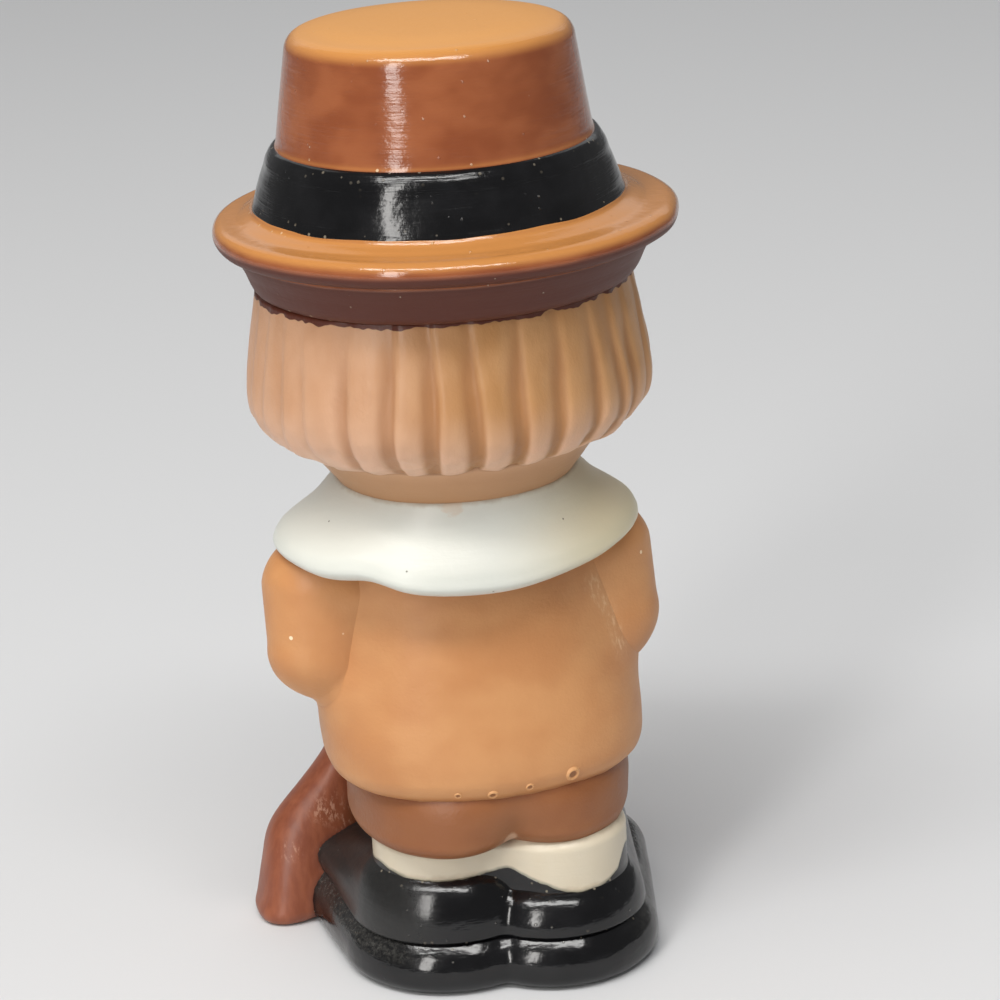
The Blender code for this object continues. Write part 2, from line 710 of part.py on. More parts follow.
def make_stock(floor, shoe_mould, sole_mould, coat_mould, barrel_mould):
    """The wooden stock: a deep butt, a thin wrist and a fore-end that cradles the barrel."""
    drop = -0.8 * BARREL_RADIUS
    stations = [
        (-2.0 * BUTT_HALF_DEPTH, 0.85 * BUTT_HALF_WIDTH, BUTT_HALF_DEPTH, -0.35 * BUTT_HALF_DEPTH),
        (0.0, 0.97 * BUTT_HALF_WIDTH, BUTT_HALF_DEPTH, -0.3 * BUTT_HALF_DEPTH),
        (0.4 * BUTT_LENGTH, 1.3 * BUTT_HALF_WIDTH, 0.9 * BUTT_HALF_DEPTH, -0.22 * BUTT_HALF_DEPTH),
        (0.85 * BUTT_LENGTH, WRIST_HALF_WIDTH, 1.1 * WRIST_HALF_DEPTH, 0.6 * drop),
        (1.1 * BUTT_LENGTH, WRIST_HALF_WIDTH, WRIST_HALF_DEPTH, drop),
        (FORE_END - 2 * WRIST_HALF_DEPTH, 0.95 * WRIST_HALF_WIDTH, 0.9 * WRIST_HALF_DEPTH, drop),
        (FORE_END, 0.8 * WRIST_HALF_WIDTH, 0.75 * WRIST_HALF_DEPTH, drop),
    ]
    rings = []
    for distance in evenly(stations[0][0], FORE_END, 14):
        half_width, half_depth, offset = flowing(stations, distance)
        ring = oval(half_width, half_depth, distance, LIMB_SIDES, fullness=2.4)
        rings.append([point + Vector((0.0, offset, 0.0)) for point in ring])
    stock = add_piece("musket_stock", skin("musket_stock", rings), WALNUT)
    stock.matrix_local = musket_frame()
    plain = mould(stock)
    cut(stock, barrel_mould, floor, sole_mould, shoe_mould, coat_mould)
    return plain


def make_floor():
    """A block below Z = 0 that trims what rests on the floor."""
    block = bmesh.new()
    size = 4 * MUSKET_LENGTH
    bmesh.ops.create_cube(block, size=size, matrix=Matrix.Translation((0.0, 0.0, -size / 2)))
    mesh = bpy.data.meshes.new("floor")
    block.to_mesh(mesh)
    block.free()
    floor = bpy.data.objects.new("floor", mesh)
    CUTTERS.objects.link(floor)
    floor.parent = ROOT
    return hide_as_cutter(floor)


def make_barrel():
    """A turned barrel that flares to a bell mouth, with a blind bore."""
    flare = MUSKET_LENGTH - 3.2 * MUZZLE_RADIUS
    profile = [
        (0.0, MUSKET_LENGTH - BORE_DEPTH),
        (BORE_RADIUS, MUSKET_LENGTH - BORE_DEPTH),
        (BORE_RADIUS, MUSKET_LENGTH - 0.5 * BORE_DEPTH),
        (0.72 * MUZZLE_RADIUS, MUSKET_LENGTH),
        (MUZZLE_RADIUS, MUSKET_LENGTH),
        (MUZZLE_RADIUS, MUSKET_LENGTH - 0.4 * MUZZLE_RADIUS),
        (0.78 * MUZZLE_RADIUS, MUSKET_LENGTH - 0.9 * MUZZLE_RADIUS),
        (0.5 * (BARREL_RADIUS + 0.7 * MUZZLE_RADIUS), 0.6 * MUSKET_LENGTH + 0.4 * flare),
        (BARREL_RADIUS, flare),
        (1.15 * BARREL_RADIUS, BREECH_AT),
        (0.0, BREECH_AT),
    ]
    barrel = add_piece("musket_barrel", bpy.data.meshes.new("musket_barrel"), IRON)
    turn(barrel, profile, closed=False, steps=LIMB_SIDES)
    bake(barrel, IRON)
    barrel.matrix_local = musket_frame()
    return mould(barrel)


def make_lock(stock_mould, barrel_mould):
    """A bevelled lock plate on the outer side of the wrist."""
    plate = bmesh.new()
    size = Vector((LOCK_THICKNESS * 2, LOCK_HEIGHT, LOCK_LENGTH))
    bmesh.ops.create_cube(plate, size=1.0, matrix=Matrix.Diagonal((*size, 1.0)))
    mesh = bpy.data.meshes.new("musket_lock")
    plate.to_mesh(mesh)
    plate.free()
    lock = add_piece("musket_lock", mesh, IRON)
    reach = WRIST_HALF_WIDTH + 0.2 * LOCK_THICKNESS
    seat = Matrix.Translation((reach, -0.8 * BARREL_RADIUS, BREECH_AT + LOCK_LENGTH / 2))
    lock.matrix_local = musket_frame() @ seat
    bevel = lock.modifiers.new("worn edges", "BEVEL")
    bevel.width = 0.35 * LOCK_THICKNESS
    bevel.segments = 2
    cut(lock, stock_mould, barrel_mould)


# Arms

def arm_places(side):
    """Shoulder, elbow and grip of one arm."""
    shoulder_height = HEM + 0.7 * COAT_LENGTH
    shoulder_aside = side * (coat_at(shoulder_height)[0] + SHOULDER_OUT) + SHOULDER_SHIFT
    shoulder = Vector((shoulder_aside, 0.0, shoulder_height))
    elbow_height = HEM + ELBOW_HEIGHT
    elbow_aside = side * (coat_at(elbow_height)[0] + ELBOW_OUT) + SHOULDER_SHIFT
    elbow = Vector((elbow_aside, 0.1 * HEM_HALF_DEPTH, elbow_height))
    grip = along_musket(RIGHT_GRIP - GRIP_PITCH * (side == LEFT))
    return shoulder, elbow, grip


def fore_arm(side):
    """Wrist point where the sleeve ends, and the direction from there to the grip."""
    _, elbow, grip = arm_places(side)
    in_front = elbow + Vector((-side * WRIST_IN, -0.9 * HEM_HALF_DEPTH, 0.0))
    towards = (in_front - grip).normalized()
    wrist = grip + towards * (HAND_LENGTH + CUFF_LENGTH)
    return wrist, -towards


def make_sleeve(side, coat_mould):
    """A full sleeve: an upper arm and a forearm that meet in a bent elbow. It returns their two moulds."""
    name = "sleeve_" + SIDE_NAMES[side]
    shoulder, elbow, _ = arm_places(side)
    wrist, _ = fore_arm(side)
    sleeve = add_piece(name, limb(name, shoulder, elbow, SHOULDER_RADIUS, ELBOW_RADIUS), TAN)
    fore_mesh = limb(name + "_fore", elbow, wrist, ELBOW_RADIUS, WRIST_RADIUS, round_end=False)
    fore = bpy.data.objects.new(name + "_fore", fore_mesh)
    CUTTERS.objects.link(fore)
    fore.parent = ROOT
    moulds = [mould(sleeve), mould(fore)]
    fuse(sleeve, hide_as_cutter(fore))
    cut(sleeve, coat_mould)
    return moulds


def make_cuff(side, coat_mould, sleeve_moulds):
    """A turned-back cuff: a plump ring between the sleeve and the hand."""
    name = "cuff_" + SIDE_NAMES[side]
    wrist, towards = fore_arm(side)
    rings = []
    for share, inset in ((0.0, 0.18), (0.15, 0.04), (0.5, 0.0), (0.85, 0.04), (1.0, 0.18)):
        radius = CUFF_RADIUS * (1 - inset)
        rings.append(oval(radius, radius, SEAM + share * (CUFF_LENGTH - 2 * SEAM), LIMB_SIDES))
    cuff = add_piece(name, skin(name, rings), WHITE)
    cuff.matrix_local = limb_frame(wrist, towards)
    plain = mould(cuff)
    cut(cuff, coat_mould, *sleeve_moulds)
    return plain


def make_hand(side, moulds):
    """A closed fist: the musket passes through it, between the palm and the curled fingers."""
    name = "hand_" + SIDE_NAMES[side]
    wrist, towards = fore_arm(side)
    reach = HAND_LENGTH + HAND_HALF_WIDTH
    rings = []
    for share, size in zip(FIST_SHARES, FIST_SIZES):
        half = HAND_HALF_WIDTH * size
        rings.append(oval(half, 1.12 * half, CUFF_LENGTH + share * reach, LIMB_SIDES, fullness=2.4))
    hand = add_piece(name, skin(name, rings), FLESH)
    hand.matrix_local = limb_frame(wrist, towards)
    cut(hand, *moulds)


# Head, hair and collar

def head_stations():
    """Half width and half depth of the head by height, from the neck peg to the flat under the hat."""
    nape = COAT_TOP + 0.75 * COLLAR_RISE
    rise = HAIR_TOP - nape
    return [
        (COAT_TOP - NECK_PEG, NECK_RADIUS, NECK_RADIUS),
        (COAT_TOP, NECK_RADIUS, NECK_RADIUS),
        (nape, 0.97 * NAPE_RADIUS, 0.97 * NAPE_RADIUS),
        (nape + 0.12 * rise, 1.14 * NAPE_RADIUS, 1.14 * NAPE_RADIUS),
        (nape + 0.3 * rise, 0.94 * HEAD_HALF_WIDTH, 0.94 * HEAD_HALF_DEPTH),
        (nape + 0.56 * rise, HEAD_HALF_WIDTH, HEAD_HALF_DEPTH),
        (nape + 0.82 * rise, 0.985 * HEAD_HALF_WIDTH, 0.985 * HEAD_HALF_DEPTH),
        (HAIR_TOP, 0.95 * HEAD_HALF_WIDTH, 0.95 * HEAD_HALF_DEPTH),
    ]


def make_head():
    """Round head with a small nose. Its neck is a peg into the coat, and the hat sits on its flat top."""
    stations = head_stations()
    heights = [station[0] for station in stations]
    heights += [(low + high) / 2 for low, high in zip(heights[2:], heights[3:])]
    rings = [oval(*flowing(stations, height), height) for height in sorted(heights)]
    head = add_piece("head", skin("head", rings), FLESH)
    plain = mould(head)
    nose_at = COAT_TOP + NOSE_HEIGHT
    ball = bmesh.new()
    bmesh.ops.create_uvsphere(ball, u_segments=12, v_segments=8, radius=NOSE_RADIUS)
    mesh = bpy.data.meshes.new("nose")
    ball.to_mesh(mesh)
    ball.free()
    nose = bpy.data.objects.new("nose", mesh)
    CUTTERS.objects.link(nose)
    nose.parent = ROOT
    nose.location = (0.0, -flowing(stations, nose_at)[1], nose_at)
    fuse(head, hide_as_cutter(nose))
    return plain


def hair_stations():
    """How far the bob stands in from its widest, by height."""
    return [
        (HAIR_FOOT, HAIR_CURL_INSET),
        (HAIR_FOOT + 0.07 * HAIR_LENGTH, 0.5 * HAIR_CURL_INSET),
        (HAIR_FOOT + 0.2 * HAIR_LENGTH, 0.1 * HAIR_CURL_INSET),
        (HAIR_FOOT + 0.36 * HAIR_LENGTH, 0.0),
        (HAIR_FOOT + 0.7 * HAIR_LENGTH, 0.45 * HAIR_TOP_INSET),
        (HAIR_TOP, HAIR_TOP_INSET),
    ]


def make_hair(head_mould):
    """A bobbed head of hair in upright locks, cut round the face under a short fringe."""
    per_lock = 4
    sides = per_lock * LOCK_COUNT
    rings = []
    for height, inset in hair_stations():
        ring = oval(HAIR_HALF_WIDTH - inset, HAIR_HALF_DEPTH - inset, height, sides)
        for step, point in enumerate(ring):
            if step % per_lock == 0:
                inward = Vector((-point.x, -point.y, 0.0)).normalized()
                point += inward * LOCK_GROOVE
        rings.append(ring)
    hair = add_piece("hair", skin("hair", rings), STRAW)
    drop = HAIR_TOP - FRINGE_LENGTH - HAIR_FOOT
    outline = oval(FACE_HALF_WIDTH, 1.3 * drop, 0.0, ROUND_SIDES - 8, fullness=3.0)
    face_rings = []
    for depth in (0.0, 2 * HAIR_HALF_DEPTH):
        lowered = HAIR_FOOT - 0.3 * drop
        face_rings.append([Vector((point.x, -depth, lowered + point.y)) for point in outline])
    window = bpy.data.objects.new("face_window", skin("face_window", face_rings))
    CUTTERS.objects.link(window)
    window.parent = ROOT
    cut(hair, head_mould, hide_as_cutter(window))


def collar_section(angle):
    """The collar's closed section at an angle round the neck, as (radius, height) points."""
    across, along = math.cos(angle), math.sin(angle)
    reach = 1 / math.hypot(across / COLLAR_HALF_WIDTH, along / COLLAR_HALF_DEPTH) + SHOULDER_SHIFT * across
    top = COAT_TOP + COLLAR_RISE
    low = top - COLLAR_DROP - COLLAR_DIP * along * along
    start = Vector((NAPE_RADIUS, top))
    end = Vector((reach, low))
    down = COLLAR_THICKNESS
    points = [Vector((NECK_RADIUS, top)), start]
    for share in (0.45, 0.9):
        points.append(start.lerp(end, share))
    points.append(end + Vector((0.0, -0.15 * down)))
    points.append(end + Vector((-0.12 * down, -0.7 * down)))
    points.append(end + Vector((-0.6 * down, -down)))
    points.append(start.lerp(end, 0.6) + Vector((0.0, -2.2 * down)))
    points.append(Vector((NECK_RADIUS, COAT_TOP - down)))
    return points


def make_collar(moulds):
    """A wide falling collar that lies on the coat and sleeves, open in front between two points."""
    steps = ROUND_SIDES + 8
    rings = []
    for step in range(steps):
        angle = math.tau * step / steps
        outward = Vector((math.cos(angle), math.sin(angle), 0.0))
        rings.append([outward * p.x + Vector((0.0, 0.0, p.y)) for p in collar_section(angle)])
    collar = add_piece("collar", skin("collar", rings, wraps=True), WHITE)
    depth = 2 * COLLAR_HALF_DEPTH
    top = COAT_TOP + COLLAR_RISE
    low = top - 3 * COLLAR_DROP
    wedge = [
        [Vector((-x, y, low)), Vector((x, y, low)), Vector((0.3 * x, y, top + COLLAR_RISE)),
         Vector((-0.3 * x, y, top + COLLAR_RISE))]
        for x, y in ((2 * COLLAR_SPLIT, -0.3 * depth), (2 * COLLAR_SPLIT, -depth))
    ]
    split = bpy.data.objects.new("collar_split", skin("collar_split", wedge))
    CUTTERS.objects.link(split)
    split.parent = ROOT
    cut(collar, *moulds, hide_as_cutter(split))


# Hat

def crown_radius(height):
    """Radius of the tapered crown at a height."""
    return CROWN_BASE_RADIUS + (CROWN_TOP_RADIUS - CROWN_BASE_RADIUS) * (height - CROWN_FOOT) / CROWN_HEIGHT


def make_brim():
    """A thick brim: a dished top, a rounded edge and an underside that slopes in to the hair."""
    edge_top = BRIM_TOP - BRIM_DROP
    edge_low = edge_top - BRIM_EDGE
    edge = arc((BRIM_RADIUS - BRIM_EDGE / 2, edge_top - BRIM_EDGE / 2), BRIM_EDGE / 2, 90, -60)
    band_foot = CROWN_BASE_RADIUS + BAND_THICKNESS
    profile = [(0.0, BRIM_TOP), (band_foot, BRIM_TOP)]
    dish = Vector((band_foot, BRIM_TOP)).lerp(Vector(edge[0]), 0.4)
    profile.append((dish.x, dish.y - 0.25 * BRIM_DROP))
    profile += edge
    under = Vector((BRIM_RADIUS - 1.5 * BRIM_EDGE / 2, edge_low - 0.2 * BRIM_EDGE))
    foot = Vector((BRIM_FOOT_RADIUS, BRIM_FOOT))
    profile.append(tuple(under.lerp(foot, 0.35) + Vector((0.15 * BRIM_EDGE, 0.0))))
    profile += [tuple(foot), (0.0, BRIM_FOOT)]
    brim = add_piece("hat_brim", bpy.data.meshes.new("hat_brim"), BROWN)
    turn(brim, profile, closed=False, steps=ROUND_SIDES + 8)
    bake(brim, BROWN)
    for corner in brim.data.vertices:
        share = (math.hypot(corner.co.x, corner.co.y) - band_foot) / (BRIM_RADIUS - band_foot)
        corner.co.x -= BRIM_SHIFT * min(max(share, 0.0), 1.0)
    brim.data.update()


def make_crown():
    """A tall crown that tapers to a rounded, slightly domed top."""
    shoulder = CROWN_TOP - CROWN_DOME - CROWN_ROUND
    profile = [(0.0, CROWN_TOP), (0.6 * CROWN_TOP_RADIUS, CROWN_TOP - 0.35 * CROWN_DOME)]
    profile += arc((CROWN_TOP_RADIUS - CROWN_ROUND, shoulder), CROWN_ROUND, 80, 8)
    profile += [(CROWN_BASE_RADIUS, CROWN_FOOT), (0.0, CROWN_FOOT)]
    crown = add_piece("hat_crown", bpy.data.meshes.new("hat_crown"), BROWN)
    turn(crown, profile, closed=False, steps=ROUND_SIDES + 8)


def band_profile():
    """The hat band's closed section: plump outside, fitted to the crown inside."""
    low, high = CROWN_FOOT, CROWN_FOOT + BAND_HEIGHT
    middle = (low + high) / 2
    mean = 1.1 * (BAND_THICKNESS + BAND_TOP_THICKNESS) / 2
    return [
        (crown_radius(high) + SEAM, high),
        (crown_radius(high) + 0.7 * BAND_TOP_THICKNESS, high),
        (crown_radius(high) + BAND_TOP_THICKNESS, high - 0.1 * BAND_HEIGHT),
        (crown_radius(middle) + mean, middle),
        (crown_radius(low) + 1.05 * BAND_THICKNESS, low + 0.16 * BAND_HEIGHT),
        (crown_radius(low) + 0.9 * BAND_THICKNESS, low),
        (crown_radius(low) + SEAM, low),
    ]


def make_band():
    """A broad band round the foot of the crown."""
    band = add_piece("hat_band", bpy.data.meshes.new("hat_band"), BLACK)
    turn(band, band_profile(), closed=True, steps=ROUND_SIDES + 8)
    bake(band, BLACK)
    return mould(band)


def make_hat_buckle(band_mould):
    """A square buckle on the front of the band."""
    height = BAND_HEIGHT - 2 * HAT_BUCKLE_MARGIN
    mesh = buckle_frame("hat_buckle", HAT_BUCKLE_WIDTH, height, HAT_BUCKLE_BAR, HAT_BUCKLE_THICKNESS)
    buckle = add_piece("hat_buckle", mesh, BRASS)
    middle = CROWN_FOOT + BAND_HEIGHT / 2
    lean = math.atan2(CROWN_BASE_RADIUS - CROWN_TOP_RADIUS, CROWN_HEIGHT)
    buckle.location = (0.0, -(crown_radius(middle) + BAND_THICKNESS), middle)
    buckle.rotation_euler = (math.pi / 2 - lean, 0.0, 0.0)
    cut(buckle, band_mould)


def stand_on_floor_centre():
    """Moves the root so that the pieces' box is centred over the origin."""
    bpy.context.view_layer.update()
    graph = bpy.context.evaluated_depsgraph_get()
    corners = []
    for piece in PIECES.objects:
        if piece.type == "MESH":
            solid = piece.evaluated_get(graph)
            corners += [solid.matrix_world @ corner.co for corner in solid.data.vertices]
    for axis in (0, 1):
        values = [corner[axis] for corner in corners]
        ROOT.location[axis] = -(min(values) + max(values)) / 2


def build():
    floor = make_floor()
    sole_mould = make_sole()
    left_shoe, left_stocking = make_leg(LEFT)
    right_shoe, right_stocking = make_leg(RIGHT)
    breeches_mould = make_breeches([left_stocking, right_stocking])
    head_mould = make_head()
    coat_mould = make_coat(breeches_mould, head_mould)
    for number in range(1, BUTTON_COUNT + 1):
        make_button(number)
    barrel_mould = make_barrel()
    stock_mould = make_stock(floor, left_shoe, sole_mould, coat_mould, barrel_mould)
    make_lock(stock_mould, barrel_mould)
    make_shoe_buckle(LEFT, [left_shoe, stock_mould])
    make_shoe_buckle(RIGHT, [right_shoe])
    sleeve_moulds = {side: make_sleeve(side, coat_mould) for side in (LEFT, RIGHT)}
    for side in (LEFT, RIGHT):
        cuff_mould = make_cuff(side, coat_mould, sleeve_moulds[side])
        make_hand(side, [cuff_mould, stock_mould, barrel_mould, coat_mould, *sleeve_moulds[side]])
    make_hair(head_mould)
    make_collar([head_mould, coat_mould, *sleeve_moulds[LEFT], *sleeve_moulds[RIGHT]])
    make_brim()
    make_crown()
    make_hat_buckle(make_band())
    stand_on_floor_centre()


clear_scene()
PIECES = new_collection("pilgrim_figurine")
CUTTERS = new_collection("cutters")
ROOT = bpy.data.objects.new("figurine", None)
PIECES.objects.link(ROOT)
BLACK = glaze("black gloss", (0.012, 0.012, 0.014), 0.22)
WHITE = glaze("ivory white", (0.76, 0.74, 0.66), 0.4)
TAN = glaze("tan", (0.47, 0.2, 0.055), 0.45)
FLESH = glaze("flesh", (0.62, 0.36, 0.2), 0.45)
STRAW = glaze("straw", (0.62, 0.37, 0.19), 0.45)
BROWN = glaze("hat brown", (0.3, 0.1, 0.03), 0.25)
WALNUT = glaze("walnut", (0.24, 0.065, 0.028), 0.4)
IRON = glaze("iron grey", (0.06, 0.06, 0.065), 0.35)
BRASS = glaze("brass yellow", (0.62, 0.4, 0.09), 0.3)
build()
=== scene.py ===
"""The looks of a hand-painted ceramic pilgrim figurine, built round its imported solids.

Shapes are worked out in millimetres from the figure's own axis, which runs up through the hat. The figure
faces -Y, its left side is +X, and it stands on the floor at Z = 0. The picture is taken from behind.
"""

import math

import bpy
import numpy as np
from mathutils import Matrix, Vector, noise
from mathutils.bvhtree import BVHTree


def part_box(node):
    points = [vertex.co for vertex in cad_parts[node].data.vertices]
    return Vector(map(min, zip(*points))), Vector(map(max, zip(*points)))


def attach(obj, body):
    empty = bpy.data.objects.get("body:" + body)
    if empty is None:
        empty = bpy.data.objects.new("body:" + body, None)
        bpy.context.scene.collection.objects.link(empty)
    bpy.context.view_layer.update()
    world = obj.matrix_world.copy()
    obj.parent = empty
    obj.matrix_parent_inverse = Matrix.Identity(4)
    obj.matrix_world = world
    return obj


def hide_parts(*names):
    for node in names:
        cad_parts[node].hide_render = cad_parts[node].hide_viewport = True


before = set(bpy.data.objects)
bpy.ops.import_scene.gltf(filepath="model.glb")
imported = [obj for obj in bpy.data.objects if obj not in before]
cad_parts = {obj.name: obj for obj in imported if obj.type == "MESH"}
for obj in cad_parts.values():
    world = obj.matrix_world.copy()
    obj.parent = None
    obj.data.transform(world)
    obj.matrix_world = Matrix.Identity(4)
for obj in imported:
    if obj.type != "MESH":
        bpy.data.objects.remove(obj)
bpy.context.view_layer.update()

MM = 0.001
LEFT, RIGHT = 1, -1
SIDE_NAMES = {LEFT: "left", RIGHT: "right"}

crown_low, crown_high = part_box("hat_crown")
AXIS = np.array([(crown_low.x + crown_high.x) / 2, (crown_low.y + crown_high.y) / 2, 0.0])


def extent(node):
    """Lowest and highest corner of a solid, in millimetres from the figure's axis."""
    low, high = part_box(node)
    return (np.array(low) - AXIS) / MM, (np.array(high) - AXIS) / MM


def heights(node):
    low, high = extent(node)
    return low[2], high[2]


# Heights, taken from the solids

SOLE_TOP = heights("sole")[1]
SHOE_FOOT, SHOE_TOP = heights("shoe_left")
BREECHES_FOOT, BREECHES_TOP = heights("breeches")
HEM, COAT_TOP = heights("coat")
HAIR_FOOT, HAIR_TOP = heights("hair")
BRIM_FOOT, BRIM_TOP = heights("hat_brim")
BAND_FOOT, BAND_TOP = heights("hat_band")
CROWN_FOOT, CROWN_TOP = heights("hat_crown")
COLLAR_TOP = heights("collar")[1]
COAT_LENGTH = COAT_TOP - HEM
HAIR_LENGTH = HAIR_TOP - HAIR_FOOT

# Feet and legs, in millimetres

SOLE_FOOT_ROUND = 2.0
SOLE_TOP_ROUND = 4.2
HEEL_RADIUS, TOE_RADIUS = 12.6, 11.0
LEFT_HEEL_FULL = 1.2
HEEL_SPREAD, TOE_SPREAD = 11.0, 23.0
FOOT_LENGTH = 19.5
HEEL_BACK = 5.9
FOOT_STAGGER = 3.0
STANCE_SHIFT = 2.0
LEG_LEAN = 0.6
ANKLE_FORWARD = 0.8
POUR_HOLE_RADIUS = 5.0
SHOE_INSET, TOE_INSET = 1.8, 4.0
SHOE_MOUTH_WALL = 1.5
STOCKING_RADIUS = 8.6
LEG_HALF_WIDTH, LEG_HALF_DEPTH = 10.5, 15.9
LEG_SPREAD = 13.4
LEG_EDGE_ROUND = 2.4

# Coat, arms and collar

HEM_HALF_WIDTH, HEM_HALF_DEPTH = 19.6, 16.8
HEM_TUCK = 1.3
SHOULDER_HALF_WIDTH, SHOULDER_HALF_DEPTH = 14.6, 12.4
COAT_FULLNESS = 2.2
SHOULDER_RADIUS, ELBOW_RADIUS, WRIST_RADIUS = 7.0, 5.4, 4.2
ELBOW_HEIGHT = 16.7
ELBOW_OUT, SHOULDER_OUT = 1.55, 1.6
SHOULDER_SHIFT = 0.4
WRIST_IN = 2.0
CUFF_LENGTH, CUFF_RADIUS = 3.6, 5.0
HAND_LENGTH = 9.4
COLLAR_DROP, COLLAR_DIP = 6.3, 1.9
COLLAR_HALF_WIDTH, COLLAR_HALF_DEPTH = 22.0, 18.4
COLLAR_THICKNESS = 2.4
COLLAR_SPLIT = 4.0

# Head and hair

HEAD_HALF_WIDTH, HEAD_HALF_DEPTH = 20.0, 19.2
NAPE_RADIUS, NECK_RADIUS = 14.0, 10.4
NOSE_RADIUS = 1.9
HAIR_HALF_WIDTH, HAIR_HALF_DEPTH = 23.95, 22.6
HAIR_TOP_INSET, HAIR_CURL_INSET = 1.9, 4.4
FRINGE_LENGTH = 5.0
FACE_HALF_WIDTH = 14.6

# Hat

BRIM_RADIUS = 27.0
BRIM_FOOT_RADIUS = 22.0
BRIM_EDGE, BRIM_DROP = 3.0, 0.6
BRIM_SHIFT = 0.7
CROWN_BASE_RADIUS, CROWN_TOP_RADIUS = 19.7, 16.6
CROWN_ROUND, CROWN_DOME = 2.2, 0.7
BAND_THICKNESS, BAND_TOP_THICKNESS = 1.5, 0.8

# Musket

MUSKET_LENGTH = 67.0
BUTT_HALF_WIDTH, BUTT_HALF_DEPTH = 4.5, 5.2
GUN_WRIST_HALF_WIDTH, GUN_WRIST_HALF_DEPTH = 2.4, 2.7
BUTT_LENGTH = 24.0
BARE_BARREL = 17.0
BUTT_CLEAR = 1.9
MUZZLE_LEAN, MUZZLE_STANDOFF = 27.5, 7.0
BARREL_RADIUS, MUZZLE_RADIUS, BORE_RADIUS = 2.2, 4.3, 1.9
BORE_DEPTH = 9.0
BREECH_AT = 22.0
RIGHT_GRIP, GRIP_PITCH = 14.0, 12.0

# Camera, behind the figure and a little to its left

CAMERA_YAW = math.radians(13.0)
CAMERA_PITCH = math.radians(19.31)
CAMERA_ROLL = math.radians(3.3)
CAMERA_DISTANCE, CAMERA_HEIGHT, CAMERA_ASIDE = 350.0, 179.3, 5.05
PICTURE_SIZE = 1000.0
LENS, SENSOR = 111.88, 36.0


# Shapes

def flowing(stations, places):
    """Smooth readings, at many places, through stations of (place, value, value, ...)."""
    stations = np.array(stations, float)
    at = np.asarray(places, float)
    x, y = stations[:, 0], stations[:, 1:]
    span = np.clip(np.searchsorted(x, at, side="right") - 1, 0, len(x) - 2)
    slopes = np.empty_like(y)
    slopes[1:-1] = (y[2:] - y[:-2]) / (x[2:] - x[:-2])[:, None]
    slopes[0] = (y[1] - y[0]) / (x[1] - x[0])
    slopes[-1] = (y[-1] - y[-2]) / (x[-1] - x[-2])
    length = (x[span + 1] - x[span])[:, None]
    t = (at - x[span])[:, None] / length
    return (
        (2 * t**3 - 3 * t**2 + 1) * y[span]
        + (t**3 - 2 * t**2 + t) * length * slopes[span]
        + (3 * t**2 - 2 * t**3) * y[span + 1]
        + (t**3 - t**2) * length * slopes[span + 1]
    )


def curve(points, count):
    """A smooth line through points, read at evenly spaced places."""
    points = np.array(points, float)
    steps = np.linalg.norm(np.diff(points, axis=0), axis=1)
    run = np.concatenate(([0.0], np.cumsum(steps)))
    return flowing(np.column_stack((run, points)), np.linspace(0.0, run[-1], count))


def arc(centre, radius, start, end, count):
    """Points on a circle in the profile plane, from one angle to another in degrees."""
    angle = np.radians(np.linspace(start, end, count))
    return np.column_stack((centre[0] + radius * np.cos(angle), centre[1] + radius * np.sin(angle)))


def line(start, end, count):
    return np.linspace(start, end, count)


def smooth_step(value, low, high):
    t = np.clip((value - low) / (high - low), 0.0, 1.0)
    return t * t * (3 - 2 * t)


def around(sides):
    """Angles once round the axis, starting at the front."""
    return np.linspace(-math.pi / 2, 1.5 * math.pi, sides, endpoint=False)


def oval(half_width, half_depth, height, sides, fullness=2.0):
    """A level superellipse round the axis."""
    angle = around(sides)
    across, along = np.cos(angle), np.sin(angle)
    x = np.sign(across) * np.abs(across) ** (2 / fullness) * half_width
    y = np.sign(along) * np.abs(along) ** (2 / fullness) * half_depth
    return np.column_stack((x, y, np.full(sides, height)))


def turned(profile, sides):
    """Rings of a shape turned round the axis from a profile of (radius, height)."""
    angle = around(sides)
    radius, height = profile[:, 0, None], profile[:, 1, None]
    return np.stack(np.broadcast_arrays(radius * np.cos(angle), radius * np.sin(angle), height), axis=-1)


def placed(rings, matrix):
    """Rings carried by a 4 by 4 matrix in millimetres."""
    turn = np.array(matrix)
    return rings @ turn[:3, :3].T + turn[:3, 3]


def lumps(points, grain):
    """Smooth noise from -1 to 1 at points, with features of about one grain."""
    flat = points.reshape(-1, 3) / grain
    values = np.array([noise.noise(Vector(p)) for p in flat])
    return values.reshape(points.shape[:-1])


def capsule_distance(flat, start, end, start_radius, end_radius):
    """Signed distance, at many flat points, to the outline that wraps two circles of unlike radius."""
    axis = end - start
    length = np.linalg.norm(axis)
    along = axis / length
    offset = flat - start
    across = np.abs(offset @ np.array([-along[1], along[0]]))
    forward = offset @ along
    slope = (start_radius - end_radius) / length
    rise = math.sqrt(1 - slope * slope)
    k = forward * rise - across * slope
    at_start = np.hypot(across, forward) - start_radius
    at_end = np.hypot(across, forward - length) - end_radius
    between = across * rise + forward * slope - start_radius
    return np.where(k < 0, at_start, np.where(k > rise * length, at_end, between))


def soft_union(a, b, width):
    """The union of two distances, with the crease between them filled over a width."""
    share = np.clip(1 - np.abs(a - b) / width, 0.0, 1.0)
    return np.minimum(a, b) - share * share * width / 4


def level_outline(distance, inset, height, centre, reach, sides):
    """The outline at an inset inside a flat shape, found along rays from a centre."""
    angle = around(sides)
    rays = np.column_stack((np.cos(angle), np.sin(angle)))
    near, far = np.zeros(sides), np.full(sides, reach)
    for _ in range(30):
        middle = (near + far) / 2
        inside = distance(centre + rays * middle[:, None]) < -inset
        near, far = np.where(inside, middle, near), np.where(inside, far, middle)
    return np.column_stack((centre + rays * near[:, None], np.full(sides, height)))


# Meshes

